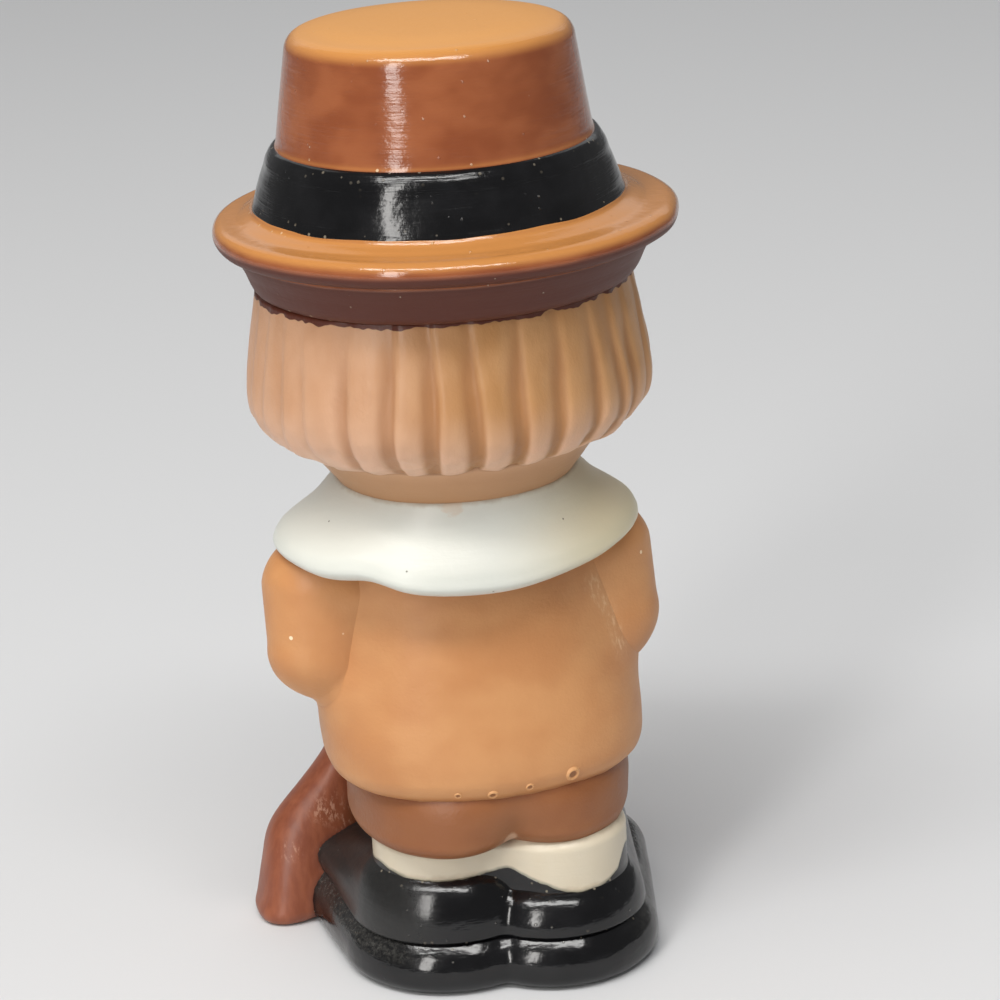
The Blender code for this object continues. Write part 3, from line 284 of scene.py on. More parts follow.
def skin(name, rings, finish, nodes):
    """A smooth closed piece over a run of rings. It rides on the figure and stands for its solids."""
    rings = np.array(rings, float)
    count, sides = rings.shape[:2]
    index = np.arange(count * sides).reshape(count, sides)
    following = np.roll(index, -1, axis=1)
    faces = np.stack((index[:-1], following[:-1], following[1:], index[1:]), axis=-1).reshape(-1, 4).tolist()
    points = np.vstack((rings.reshape(-1, 3), rings[0].mean(axis=0), rings[-1].mean(axis=0)))
    first, last = count * sides, count * sides + 1
    for k in range(sides):
        faces.append((first, following[0, k], index[0, k]))
        faces.append((last, index[-1, k], following[-1, k]))
    return piece(name, points, faces, finish, nodes)


def piece(name, points, faces, finish, nodes):
    """A piece from points in millimetres, with its faces turned outward."""
    mesh = bpy.data.meshes.new(name)
    mesh.from_pydata((points * MM + AXIS).tolist(), [], faces)
    if signed_volume(points, faces) < 0:
        mesh.flip_normals()
    if finish:
        mesh.materials.append(finish)
    mesh.shade_smooth()
    made = bpy.data.objects.new(name, mesh)
    bpy.context.scene.collection.objects.link(made)
    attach(made, "root")
    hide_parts(*nodes)
    return made


def signed_volume(points, faces):
    """Six times the volume inside the faces, negative where they point inward."""
    total = 0.0
    for corners in (3, 4):
        some = np.array([face for face in faces if len(face) == corners])
        for second in range(1, corners - 1 if len(some) else 0):
            a, b, c = points[some[:, 0]], points[some[:, second]], points[some[:, second + 1]]
            total += np.einsum("ij,ij->", a, np.cross(b, c))
    return total


def points_of(made):
    """A piece's points in millimetres from the axis, and its outward normals."""
    count = len(made.data.vertices)
    points, normals = np.empty(count * 3, np.float32), np.empty(count * 3, np.float32)
    made.data.vertices.foreach_get("co", points)
    made.data.vertex_normals.foreach_get("vector", normals)
    return (points.reshape(-1, 3) - AXIS) / MM, normals.reshape(-1, 3).astype(float)


def set_points(made, points):
    made.data.vertices.foreach_set("co", (points * MM + AXIS).astype(np.float32).ravel())
    made.data.update()


def tree_of(made):
    points, _ = points_of(made)
    return BVHTree.FromPolygons(points.tolist(), [tuple(face.vertices) for face in made.data.polygons])


def keep_reading(made, name, values):
    """Keeps a number at each point of a piece, for its finish to read."""
    kept = made.data.attributes.new(name, "FLOAT", "POINT")
    kept.data.foreach_set("value", np.asarray(values, np.float32))


CREASE_REACH = 2.0


def gaps_between(points, tree, neighbour, reach):
    """Distance from each point to a neighbouring piece, or the reach where it lies further."""
    near = np.all((points > neighbour.min(axis=0) - reach) & (points < neighbour.max(axis=0) + reach), axis=1)
    gap = np.full(len(points), reach)
    for index in np.nonzero(near)[0]:
        found = tree.find_nearest(Vector(points[index]), reach)
        if found[0]:
            gap[index] = found[3]
    return gap


def fillet_creases(widths):
    """Fills the creases between pieces, as slip and paint do, over the width given for each pair.

    It keeps, at each point, how deep in a crease it lies. Nothing is pushed under the floor.
    """
    trees, shapes = {}, {}
    for made in {made.name: made for pair in widths for made in pair}.values():
        trees[made.name], shapes[made.name] = tree_of(made), points_of(made)
    pushes = {name: np.zeros_like(shape[0]) for name, shape in shapes.items()}
    depths = {name: np.zeros(len(shape[0])) for name, shape in shapes.items()}
    for (one, other), width in widths.items():
        for made, neighbour in ((one.name, other.name), (other.name, one.name)):
            points, normals = shapes[made]
            gap = gaps_between(points, trees[neighbour], shapes[neighbour][0], max(CREASE_REACH, width))
            depth = np.clip(1 - gap / width, 0.0, 1.0)
            pushes[made] += normals * (width / 4 * depth**2)[:, None]
            depths[made] = np.maximum(depths[made], np.clip(1 - gap / CREASE_REACH, 0.0, 1.0))
    for name, push in pushes.items():
        made = bpy.data.objects[name]
        filled = shapes[name][0] + push
        filled[:, 2] = np.maximum(filled[:, 2], 0.0)
        set_points(made, filled)
        keep_reading(made, "crease", depths[name])


# Finishes

def seen(red, green, blue):
    """A colour as it looks, from 0 to 255, as the shader's own linear colour."""
    values = np.array([red, green, blue]) / 255
    linear = np.where(values <= 0.04045, values / 12.92, ((values + 0.055) / 1.055) ** 2.4)
    return (*linear, 1.0)


class Reading:
    """A shader socket that can stand in a plain sum."""

    def __init__(self, finish, socket):
        self.finish = finish
        self.socket = socket

    def __add__(self, other):
        return self.finish.sum("ADD", self, other)

    def __radd__(self, other):
        return self.finish.sum("ADD", other, self)

    def __sub__(self, other):
        return self.finish.sum("SUBTRACT", self, other)

    def __rsub__(self, other):
        return self.finish.sum("SUBTRACT", other, self)

    def __mul__(self, other):
        return self.finish.sum("MULTIPLY", self, other)

    def __rmul__(self, other):
        return self.finish.sum("MULTIPLY", other, self)

    def __truediv__(self, other):
        return self.finish.sum("DIVIDE", self, other)

    def __rtruediv__(self, other):
        return self.finish.sum("DIVIDE", other, self)

    def __pow__(self, other):
        return self.finish.sum("POWER", self, other)


class Finish:
    """One painted finish: a material and the nodes that make it."""

    def __init__(self, name):
        self.material = bpy.data.materials.new(name)
        self.material.use_nodes = True
        self.tree = self.material.node_tree
        self.shader = self.tree.nodes["Principled BSDF"]
        place = self.node("ShaderNodeTexCoord", {}, {}, "Object")
        shifted = self.node(
            "ShaderNodeVectorMath", {"operation": "SUBTRACT"}, {0: place, 1: tuple(AXIS)}, "Vector"
        )
        self.place = self.node(
            "ShaderNodeVectorMath", {"operation": "SCALE"}, {0: shifted, "Scale": 1 / MM}, "Vector"
        )
        parts = {"X": None, "Y": None, "Z": None}
        for part in parts:
            parts[part] = self.node("ShaderNodeSeparateXYZ", {}, {"Vector": self.place}, part)
        self.x, self.y, self.z = parts["X"], parts["Y"], parts["Z"]

    def node(self, kind, settings, inputs, output):
        """Adds a node of a kind, with its settings and then its inputs, and gives one of its outputs."""
        made = self.tree.nodes.new(kind)
        for name, value in settings.items():
            setattr(made, name, value)
        for name, value in inputs.items():
            self.feed(made.inputs[name], value)
        return Reading(self, made.outputs[output])

    def feed(self, socket, value):
        if isinstance(value, Reading):
            self.tree.links.new(value.socket, socket)
        else:
            socket.default_value = value

    def sum(self, operation, first, second):
        return self.node("ShaderNodeMath", {"operation": operation}, {0: first, 1: second}, 0)

    def mix(self, share, first, second):
        """One colour turning into another."""
        return self.node("ShaderNodeMix", {"data_type": "RGBA"}, {0: share, 6: first, 7: second}, 2)

    def step(self, value, low, high):
        """0 below a value, 1 above another, and smooth between."""
        settings = {"interpolation_type": "SMOOTHSTEP", "clamp": True}
        inputs = {"Value": value, "From Min": low, "From Max": high, "To Min": 0.0, "To Max": 1.0}
        return self.node("ShaderNodeMapRange", settings, inputs, "Result")

    def grain(self, across, along, up, detail=3.0, rough=0.55):
        """Noise about 0.5, with features of these sizes in millimetres along X, Y and Z."""
        sizes = (1 / across, 1 / along, 1 / up)
        scaled = self.node(
            "ShaderNodeVectorMath", {"operation": "MULTIPLY"}, {0: self.place, 1: sizes}, "Vector"
        )
        inputs = {"Vector": scaled, "Scale": 1.0, "Detail": detail, "Roughness": rough}
        return self.node("ShaderNodeTexNoise", {}, inputs, "Fac")

    def spots(self, pitch, size, share):
        """Small round spots: one in a share of the cells of a pitch, each of a size in millimetres."""
        inputs = {"Vector": self.place, "Scale": 1 / pitch}
        settings = {"feature": "F1"}
        gap = self.node("ShaderNodeTexVoronoi", settings, inputs, "Distance")
        draw = self.node("ShaderNodeTexVoronoi", settings, inputs, "Color")
        chance = self.node("ShaderNodeSeparateColor", {}, {"Color": draw}, 0)
        near = 1 - self.step(gap, 0.6 * size / pitch, size / pitch)
        return near * (1 - self.step(chance, share, share + 0.01))

    def reading(self, name):
        return self.node("ShaderNodeAttribute", {"attribute_name": name}, {}, "Fac")

    def near(self, point, reach):
        """1 at a point, falling to 0 at a reach in millimetres."""
        ends = {0: self.place, 1: tuple(point)}
        gap = self.node("ShaderNodeVectorMath", {"operation": "DISTANCE"}, ends, "Value")
        return 1 - self.step(gap, 0.0, reach)

    def facing_up(self):
        normal = self.node("ShaderNodeNewGeometry", {}, {}, "Normal")
        return self.node("ShaderNodeSeparateXYZ", {}, {"Vector": normal}, "Z")

    def finish(self, colour, roughness, height, depth, coat=0.0):
        """Feeds the shader: a colour, a roughness and a relief of a depth in millimetres."""
        self.feed(self.shader.inputs["Base Color"], colour)
        self.feed(self.shader.inputs["Roughness"], roughness)
        inputs = {"Strength": 1.0, "Distance": depth * MM, "Height": height}
        self.feed(self.shader.inputs["Normal"], self.node("ShaderNodeBump", {}, inputs, "Normal"))
        self.feed(self.shader.inputs["Coat Weight"], coat)
        self.shader.inputs["Coat Roughness"].default_value = 0.12
        return self.material


DUST = seen(205, 190, 165)


def hat_paint():
    """Glossy brown: reddish on the upright side, with a painted golden sheen where it faces up and a paler
    painted sheen on the crown's top, dark beneath.
    """
    paint = Finish("hat_paint")
    brush = paint.grain(9.0, 9.0, 0.35)
    cloud = paint.grain(7.0, 7.0, 5.0, 2.0)
    up = paint.facing_up()
    side = paint.mix(paint.step(cloud, 0.35, 0.7), seen(134, 72, 42), seen(152, 88, 54))
    # painted sheen: golden where the surface faces up, as light from above falls on it
    colour = paint.mix(paint.step(up, 0.15, 0.75), side, seen(192, 130, 70))
    # painted sheen: paler still at the crown's top
    top = paint.step(paint.z, CROWN_TOP - 1.6, CROWN_TOP - 0.4)
    colour = paint.mix(top, colour, seen(210, 148, 76))
    under = paint.step(0 - up, -0.12, 0.3)
    colour = paint.mix(under, colour, seen(80, 29, 7))
    crumbs = paint.step(paint.reading("crease"), 0.45, 0.9) * paint.spots(0.9, 0.24, 0.25)
    colour = paint.mix(0.7 * crumbs, colour, seen(226, 200, 160))
    colour = paint.mix(0.4 * paint.spots(1.6, 0.13, 0.3), colour, DUST)
    roughness = 0.1 + 0.08 * brush + 0.4 * under + 0.3 * crumbs + 0.34 * top
    height = 0.25 * brush + 0.3 * paint.grain(1.2, 1.2, 0.9) + 0.3 * paint.spots(1.6, 0.2, 0.3) + 0.5 * crumbs
    return paint.finish(colour, roughness, height, 0.14, 0.1 - 0.1 * under - 0.1 * top)


def black_look(paint, streak_across, streak_up):
    """Colour, roughness and relief of glossy black with fine brush lines, dusty in its creases."""
    brush = paint.grain(streak_across, streak_across, streak_up)
    cloud = paint.grain(5.0, 5.0, 4.0, 2.0)
    colour = paint.mix(paint.step(cloud, 0.4, 0.7), seen(9, 9, 11), seen(18, 18, 20))
    dust = paint.step(paint.reading("crease"), 0.35, 0.9) * paint.spots(0.8, 0.22, 0.25)
    colour = paint.mix(0.6 * dust, colour, seen(150, 140, 122))
    colour = paint.mix(0.45 * paint.spots(1.5, 0.12, 0.35), colour, seen(150, 146, 138))
    roughness = 0.07 + 0.1 * brush + 0.06 * cloud + 0.3 * dust
    height = 0.4 * brush + 0.35 * paint.grain(1.3, 1.3, 1.1) + 0.4 * paint.spots(1.5, 0.2, 0.35)
    return colour, roughness, height


def band_paint():
    """Black brushed round the hat."""
    paint = Finish("band_paint")
    colour, roughness, height = black_look(paint, 9.0, 0.3)
    return paint.finish(colour, roughness, height, 0.13, 0.1)


def sole_paint():
    """Black with grey rubbed wear on the upper edge of the sole, where it turns to the sides."""
    paint = Finish("sole_paint")
    colour, roughness, height = black_look(paint, 4.0, 0.8)
    aside = paint.x + STANCE_SHIFT
    rubbed = paint.step(aside * aside, 130.0, 300.0) * paint.step(paint.facing_up(), 0.2, 0.6)
    rubbed = rubbed * paint.step(paint.grain(0.5, 0.5, 0.5, 4.0, 0.7), 0.3, 0.9)
    colour = paint.mix(0.4 * rubbed, colour, seen(120, 118, 112))
    return paint.finish(colour, roughness + 0.25 * rubbed, height, 0.13, 0.1)


def hair_paint():
    """Satin straw, rosier on the figure's left, browner with painted shade between the locks and in its
    creases, and paler at the curls.

    A ragged line of brown runs under the brim.
    """
    paint = Finish("hair_paint")
    cloud = paint.grain(5.0, 5.0, 9.0, 2.0)
    rosy = paint.mix(paint.step(cloud, 0.35, 0.65), seen(192, 144, 108), seen(200, 154, 120))
    golden = paint.mix(paint.step(cloud, 0.35, 0.65), seen(180, 130, 80), seen(190, 142, 94))
    colour = paint.mix(paint.step(paint.x, -1.0, 17.0), golden, rosy)
    # painted shade: browner between the locks, where the grooves lie in shade
    groove = paint.step(paint.reading("groove"), 0.25, 1.0)
    colour = paint.mix(0.5 * groove, colour, seen(150, 98, 58))
    low = 1 - paint.step(paint.z, HAIR_FOOT, HAIR_FOOT + 0.5 * HAIR_LENGTH)
    colour = paint.mix(0.8 * low * (1 - groove), colour, seen(226, 184, 156))
    # painted shade: darker in the creases at the brim and head
    colour = paint.mix(0.4 * paint.step(paint.reading("crease"), 0.6, 1.0), colour, seen(140, 90, 58))
    ragged = paint.z + 1.2 * paint.grain(1.7, 1.7, 4.0, 1.0) + 0.6 * paint.grain(4.0, 4.0, 4.0, 1.0)
    colour = paint.mix(paint.step(ragged, HAIR_TOP + 0.34, HAIR_TOP + 0.42), colour, seen(86, 36, 18))
    colour = paint.mix(0.5 * paint.spots(2.4, 0.12, 0.2), colour, seen(140, 92, 60))
    fine = paint.grain(0.8, 0.8, 1.2)
    return paint.finish(colour, 0.34 + 0.14 * cloud, fine + 0.4 * cloud, 0.09)


def ellipse(paint, x, z, half_width, half_height, soft):
    """A painted oval on the front of the head."""
    across = (paint.x - x) / half_width
    up = (paint.z - z) / half_height
    reach = (across * across + up * up) ** 0.5
    front = 1 - paint.step(paint.y, -4.0, 0.0)
    return front * (1 - paint.step(reach, 1 - soft, 1.0))


EYE_ASIDE, EYE_HEIGHT = 6.2, 72.0
BROW_HEIGHT = 76.2
CHEEK_ASIDE, CHEEK_HEIGHT = 10.0, 67.6
MOUTH_HEIGHT, MOUTH_HALF_WIDTH = 66.2, 3.6


def face_paint():
    """Satin flesh with a plain painted face: round eyes, brows, rosy cheeks and a small calm smile."""
    paint = Finish("face_paint")
    cloud = paint.grain(6.0, 6.0, 6.0, 2.0)
    brush = paint.grain(6.0, 6.0, 0.5)
    colour = paint.mix(paint.step(cloud, 0.35, 0.65), seen(208, 160, 122), seen(216, 170, 132))
    for side in (LEFT, RIGHT):
        cheek = ellipse(paint, side * CHEEK_ASIDE, CHEEK_HEIGHT, 3.4, 2.8, 0.9)
        colour = paint.mix(0.55 * cheek, colour, seen(206, 112, 92))
        white = ellipse(paint, side * EYE_ASIDE, EYE_HEIGHT, 2.1, 2.7, 0.1)
        colour = paint.mix(white, colour, seen(232, 226, 212))
        iris = ellipse(paint, side * EYE_ASIDE, EYE_HEIGHT - 0.2, 1.4, 2.0, 0.12)
        colour = paint.mix(iris, colour, seen(42, 28, 22))
        glint = ellipse(paint, side * EYE_ASIDE + 0.4, EYE_HEIGHT + 0.7, 0.45, 0.5, 0.3)
        colour = paint.mix(glint, colour, seen(240, 238, 230))
        lift = 0.09 * (paint.x - side * EYE_ASIDE) * (paint.x - side * EYE_ASIDE)
        brow = ellipse(paint, side * EYE_ASIDE, BROW_HEIGHT, 2.8, 1.5, 0.05)
        stroke = 1 - paint.step(bent(paint, lift, BROW_HEIGHT + 0.4), 0.24, 0.38)
        colour = paint.mix(brow * stroke, colour, seen(140, 88, 52))
    smile_lift = 0 - 0.11 * paint.x * paint.x
    smile = ellipse(paint, 0.0, MOUTH_HEIGHT + 0.7, MOUTH_HALF_WIDTH, 2.2, 0.05)
    stroke = 1 - paint.step(bent(paint, smile_lift, MOUTH_HEIGHT), 0.22, 0.4)
    colour = paint.mix(smile * stroke, colour, seen(150, 62, 52))
    # painted shade: darker at the back of the neck, under the hair
    nape = paint.step(paint.y, -6.0, 6.0) * (1 - paint.step(paint.z, COAT_TOP + 6.0, COAT_TOP + 10.0))
    colour = paint.mix(nape, colour, seen(182, 136, 96))
    # painted shade: darker in the creases at the hair and collar
    painted_crease_shade = paint.step(paint.reading("crease"), 0.72, 1.0)
    colour = paint.mix(0.5 * painted_crease_shade, colour, seen(140, 96, 66))
    roughness = 0.42 + 0.1 * brush
    height = 0.5 * brush + 0.5 * paint.grain(1.0, 1.0, 1.0)
    return paint.finish(colour, roughness, height, 0.06)


def bent(paint, lift, height):
    """How far a point lies above or below a curved painted line."""
    off = paint.z + lift - height
    return (off * off) ** 0.5


def flesh_paint():
    """Satin flesh for the hands, with painted shade in its creases."""
    paint = Finish("flesh_paint")
    cloud = paint.grain(4.0, 4.0, 4.0, 2.0)
    colour = paint.mix(paint.step(cloud, 0.35, 0.65), seen(206, 158, 120), seen(216, 170, 132))
    # painted shade: darker in the creases at the cuffs and the musket
    colour = paint.mix(0.5 * paint.step(paint.reading("crease"), 0.5, 1.0), colour, seen(160, 106, 76))
    roughness = 0.42 + 0.1 * cloud
    height = paint.grain(1.0, 1.0, 1.0)
    return paint.finish(colour, roughness, height, 0.06)


def ivory_look(paint, tone, warm_tone, warm):
    """Colour, roughness and relief of satin ivory with pinholes, turning to a warmer tone by a share, with a
    ragged painted shade in its creases.
    """
    colour = paint.mix(warm, tone, warm_tone)
    # painted shade: a darker, ragged tone in the creases
    ragged = paint.reading("crease") + 0.5 * (paint.grain(1.6, 1.6, 1.2) - 0.5)
    colour = paint.mix(0.4 * paint.step(ragged, 0.62, 0.95), colour, seen(160, 138, 108))
    pits = paint.spots(3.2, 0.16, 0.22)
    colour = paint.mix(0.75 * pits, colour, seen(90, 78, 62))
    brush = paint.grain(5.0, 5.0, 0.6)
    height = 0.3 * brush + 0.4 * paint.grain(1.5, 1.5, 1.5) - 0.6 * pits
    return colour, 0.32 + 0.12 * brush, height


def collar_paint(smear):
    """Ivory, yellower towards the right shoulder with a painted warm reflection, with a smear of flesh paint
    at the nape.
    """
    paint = Finish("collar_paint")
    # painted reflection: yellower towards the figure's right shoulder
    warm = 1 - paint.step(paint.x + 2.0 * paint.grain(8.0, 8.0, 6.0), -15.0, 2.0)
    colour, roughness, height = ivory_look(paint, seen(214, 216, 208), seen(212, 202, 172), warm)
    ragged = paint.near(smear, 2.6) + 1.2 * (paint.grain(1.4, 1.4, 0.4, 4.0, 0.7) - 0.5)
    colour = paint.mix(0.35 * paint.step(ragged, 0.4, 0.7), colour, seen(206, 176, 144))
    return paint.finish(colour, roughness, height, 0.09)


def leg_paint():
    """White stockings and black shoes that meet in one wavy line of paint, grey where the black has bled."""
    paint = Finish("leg_paint")
    above = paint.reading("above_line") + 0.3 * (paint.grain(1.2, 1.2, 1.2, 2.0) - 0.5)
    white = paint.step(above, -0.06, 0.06)
    bleed = 1 - paint.step(above, 0.0, 0.42)
    cloud = paint.grain(6.0, 6.0, 6.0, 2.0)
    ivory, ivory_rough, ivory_height = ivory_look(paint, seen(216, 207, 188), seen(212, 198, 172), cloud)
    ivory = paint.mix(0.8 * bleed, ivory, seen(112, 112, 98))
    black, black_rough, black_height = black_look(paint, 4.0, 0.8)
    aside = paint.x + STANCE_SHIFT
    dull = paint.step(aside, 9.0, 16.0) * (0.4 + 0.6 * paint.grain(0.5, 0.5, 0.5, 4.0, 0.7))
    black = paint.mix(0.1 * dull, black, seen(110, 108, 102))
    black_rough = black_rough + 0.3 * dull
    colour = paint.mix(white, black, ivory)
    roughness = black_rough + white * (ivory_rough - black_rough)
    height = black_height + white * (ivory_height - black_height) + 1.2 * (1 - white)
    return paint.finish(colour, roughness, height, 0.12, 0.1)


def tan_look(paint, tone, pale_tone):
    """Colour, roughness and relief of satin tan with a fine stipple, darkened with painted shade where it
    meets its neighbours.
    """
    cloud = paint.grain(9.0, 9.0, 7.0, 2.0)
    stipple = paint.grain(0.5, 0.5, 0.5, 2.0)
    colour = paint.mix(paint.step(cloud, 0.3, 0.7), tone, pale_tone)
    # painted shade: darker in the creases where it meets its neighbours
    colour = paint.mix(0.4 * paint.step(paint.reading("crease"), 0.5, 1.0), colour, seen(132, 72, 38))
    colour = paint.mix(0.55 * paint.spots(4.0, 0.14, 0.1), colour, seen(232, 208, 176))
    return colour, 0.4 + 0.1 * cloud, 0.5 * stipple + 0.5 * paint.grain(1.3, 1.3, 1.0)


def coat_paint(worn, chipped):
    """The coat's tan, with chalky wear along one crease and a few chips."""
    paint = Finish("coat_paint")
    colour, roughness, height = tan_look(paint, seen(192, 132, 82), seen(202, 145, 94))
    streak = 0.12 + 0.88 * paint.step(paint.grain(0.5, 0.5, 1.4, 4.0, 0.7), 0.48, 0.66)
    for point, reach in worn:
        colour = paint.mix(0.5 * paint.near(point, reach) * streak, colour, seen(236, 204, 166))
    for point, reach in chipped:
        chip = paint.near(point, 1.6 * reach) + 0.5 * (paint.grain(0.5, 0.5, 0.5) - 0.5)
        colour = paint.mix(paint.step(chip, 0.42, 0.52), colour, seen(238, 214, 180))
    return paint.finish(colour, roughness, height, 0.08)


def breeches_paint(notch):
    """The breeches' tan: a slightly darker paint than the coat's, deepened with painted shade from the coat
    above, and rubbed to a paler tone at the notch between the legs.
    """
    paint = Finish("breeches_paint")
    # painted shade: the tan is darkened beyond its paint, as under the coat's flare
    colour, roughness, height = tan_look(paint, seen(138, 84, 47), seen(148, 94, 55))
    rubbed = paint.near(notch, 1.8) + 0.6 * (paint.grain(0.8, 0.8, 0.5, 4.0) - 0.5)
    colour = paint.mix(0.5 * paint.step(rubbed, 0.3, 0.7), colour, seen(222, 186, 158))
    return paint.finish(colour, roughness, height, 0.08)


def blister_paint():
    """Tan of the popped bubbles: a pale rim round a brown pit."""
    paint = Finish("blister_paint")
    colour, roughness, height = tan_look(paint, seen(208, 152, 100), seen(216, 162, 110))
    colour = paint.mix(paint.reading("pit"), colour, seen(150, 98, 56))
    return paint.finish(colour, roughness, height, 0.04)


def stock_paint(smears):
    """Reddish brown with soft strokes along the stock and a few chalky smears, darkened with painted shade in
    its creases.
    """
    paint = Finish("stock_paint")
    brush = paint.grain(1.2, 1.2, 6.0)
    colour = paint.mix(paint.step(brush, 0.3, 0.75), seen(130, 70, 47), seen(149, 86, 59))
    chalk = paint.step(paint.grain(0.5, 0.8, 1.2, 4.0, 0.7), 0.5, 0.62)
    for point, reach in smears:
        colour = paint.mix(0.4 * paint.near(point, reach) * chalk, colour, seen(222, 176, 150))
    # painted shade: dark in the creases at the sole, shoes, barrel and lock
    colour = paint.mix(0.5 * paint.step(paint.reading("crease"), 0.5, 1.0), colour, seen(70, 30, 24))
    height = 0.4 * brush + 0.4 * paint.grain(1.0, 1.0, 1.2)
    return paint.finish(colour, 0.34 + 0.14 * brush, height, 0.1)


def iron_paint():
    """Dark grey, brushed along, a little shiny."""
    paint = Finish("iron_paint")
    brush = paint.grain(0.8, 0.8, 4.0)
    colour = paint.mix(paint.step(brush, 0.35, 0.7), seen(58, 58, 62), seen(84, 84, 88))
    colour = paint.mix(0.4 * paint.spots(1.4, 0.12, 0.3), colour, seen(150, 146, 138))
    roughness = 0.28 + 0.2 * brush
    return paint.finish(colour, roughness, brush, 0.08, 0.2)


def brass_paint():
    """Yellow ochre with a soft metallic lustre, darkened with painted shade in its creases."""
    paint = Finish("brass_paint")
    brush = paint.grain(1.5, 1.5, 0.5)
    colour = paint.mix(paint.step(brush, 0.35, 0.7), seen(196, 148, 62), seen(214, 170, 84))
    # painted shade: darker in the creases against the band, shoes and coat
    colour = paint.mix(0.5 * paint.step(paint.reading("crease"), 0.6, 1.0), colour, seen(120, 82, 34))
    roughness = 0.28 + 0.16 * brush
    paint.shader.inputs["Metallic"].default_value = 0.35
    return paint.finish(colour, roughness, brush, 0.06, 0.2)


# Hat

TURNED_SIDES = 256


def crown_radius(height):
    """Radius of the tapered crown at a height."""
    taper = (CROWN_TOP_RADIUS - CROWN_BASE_RADIUS) / (CROWN_TOP - CROWN_FOOT)
    return CROWN_BASE_RADIUS + taper * (height - CROWN_FOOT)


def uneven(rings, grain, amount):
    """Rings pushed in and out level with the floor, as hand-finished clay is."""
    outward = rings * np.array([1.0, 1.0, 0.0])
    length = np.maximum(np.linalg.norm(outward, axis=-1, keepdims=True), 1e-6)
    share = np.minimum(length / 4.0, 1.0)
    return rings + outward / length * share * (amount * lumps(rings, grain))[..., None]


def make_crown(finish):
    """The tall crown, tapered to a rounded edge and a faintly domed top."""
    shoulder = CROWN_TOP - CROWN_DOME - CROWN_ROUND
    corner = (CROWN_TOP_RADIUS - CROWN_ROUND, shoulder)
    edge = arc(corner, CROWN_ROUND, 8, 82, 18)
    side = line((CROWN_BASE_RADIUS - 0.2, CROWN_FOOT), edge[0], 52)[:-1]
    dome = curve([edge[-1], (0.6 * CROWN_TOP_RADIUS, CROWN_TOP - 0.3 * CROWN_DOME), (0.2, CROWN_TOP)], 24)[1:]
    rings = turned(np.vstack((side, edge, dome)), TURNED_SIDES)
    return skin("painted_hat_crown", uneven(rings, 9.0, 0.14), finish, ["hat_crown"])


def make_band(finish):
    """The plump band round the crown."""
    low, high = BAND_FOOT - 0.25, BAND_TOP
    middle = (low + high) / 2
    mean = 1.1 * (BAND_THICKNESS + BAND_TOP_THICKNESS) / 2
    outside = curve(
        [
            (crown_radius(low) - 0.6, low),
            (crown_radius(low) + 0.9 * BAND_THICKNESS, low),
            (crown_radius(low) + 1.08 * BAND_THICKNESS, low + 0.12 * (high - low)),
            (crown_radius(middle) + mean, middle),
            (crown_radius(high) + 1.6 * BAND_TOP_THICKNESS, high - 0.3 * (high - low)),
            (crown_radius(high) + 1.3 * BAND_TOP_THICKNESS, high - 0.18 * (high - low)),
            (crown_radius(high) + 0.8 * BAND_TOP_THICKNESS, high - 0.08 * (high - low)),
            (crown_radius(high) + 0.2 * BAND_TOP_THICKNESS, high - 0.01 * (high - low)),
            (crown_radius(high) - 0.6, high),
        ],
        72,
    )
    rings = uneven(turned(outside, TURNED_SIDES), 5.0, 0.14)
    return skin("painted_hat_band", rings, finish, ["hat_band"])


def make_brim(finish):
    """The thick brim: dished above, round at its edge, and drawn in to the hair below."""
    edge_top = BRIM_TOP - BRIM_DROP
    round_centre = (BRIM_RADIUS - BRIM_EDGE / 2, edge_top - BRIM_EDGE / 2)
    edge = arc(round_centre, BRIM_EDGE / 2, -72, 88, 26)
    band_foot = CROWN_BASE_RADIUS + BAND_THICKNESS
    groove = (BRIM_RADIUS - 0.92 * BRIM_EDGE, edge_top - 1.06 * BRIM_EDGE)
    under = curve(
        [
            (BRIM_FOOT_RADIUS - 3.0, BRIM_FOOT),
            (BRIM_FOOT_RADIUS, BRIM_FOOT),
            (BRIM_FOOT_RADIUS + 1.5, BRIM_FOOT + 2.6),
            (groove[0] + 0.1, groove[1] - 0.5),
            groove,
        ],
        36,
    )
    top = curve(
        [
            edge[-1],
            (BRIM_RADIUS - 3.2, edge_top + 0.12),
            (band_foot + 1.7, BRIM_TOP - 0.15),
            (band_foot + 0.7, BRIM_TOP + 0.25),
            (band_foot - 0.1, BRIM_TOP + 0.75),
            (band_foot - 2.0, BRIM_TOP + 0.9),
        ],
        40,
    )
    rings = uneven(turned(np.vstack((under, edge, top[1:])), TURNED_SIDES + 64), 7.0, 0.16)
    reach = np.linalg.norm(rings[..., :2], axis=-1)
    rings[..., 0] -= BRIM_SHIFT * np.clip((reach - band_foot) / (BRIM_RADIUS - band_foot), 0.0, 1.0)
    return skin("painted_hat_brim", rings, finish, ["hat_brim"])


# Hair and head

CAMERA_SIDE = math.atan2(
    CAMERA_ASIDE * math.sin(CAMERA_YAW) + CAMERA_DISTANCE * math.cos(CAMERA_YAW),
    CAMERA_DISTANCE * math.sin(CAMERA_YAW) - CAMERA_ASIDE * math.cos(CAMERA_YAW),
)
# Grooves between the locks seen in the picture, as angles from the side that faces the camera
SEEN_GROOVES = (-1.31, -1.15, -0.97, -0.8, -0.515, -0.285, -0.085, 0.13, 0.37, 0.58, 0.8, 0.985, 1.145)
SHALLOW_GROOVE, DEEP_GROOVE = 0.28, 0.84
RIGHT_EASED = 0.3
UNSEEN_PITCH = 0.22
LEFT_UNSEEN_DEPTH, RIGHT_UNSEEN_DEPTH = 0.45, 0.5
LEFT_END, RIGHT_END = -2.2, 4.0
# Each groove is soft on one side and sharp on the other, where the next lock begins
GROOVE_SOFT, GROOVE_SHARP = 0.075, 0.026


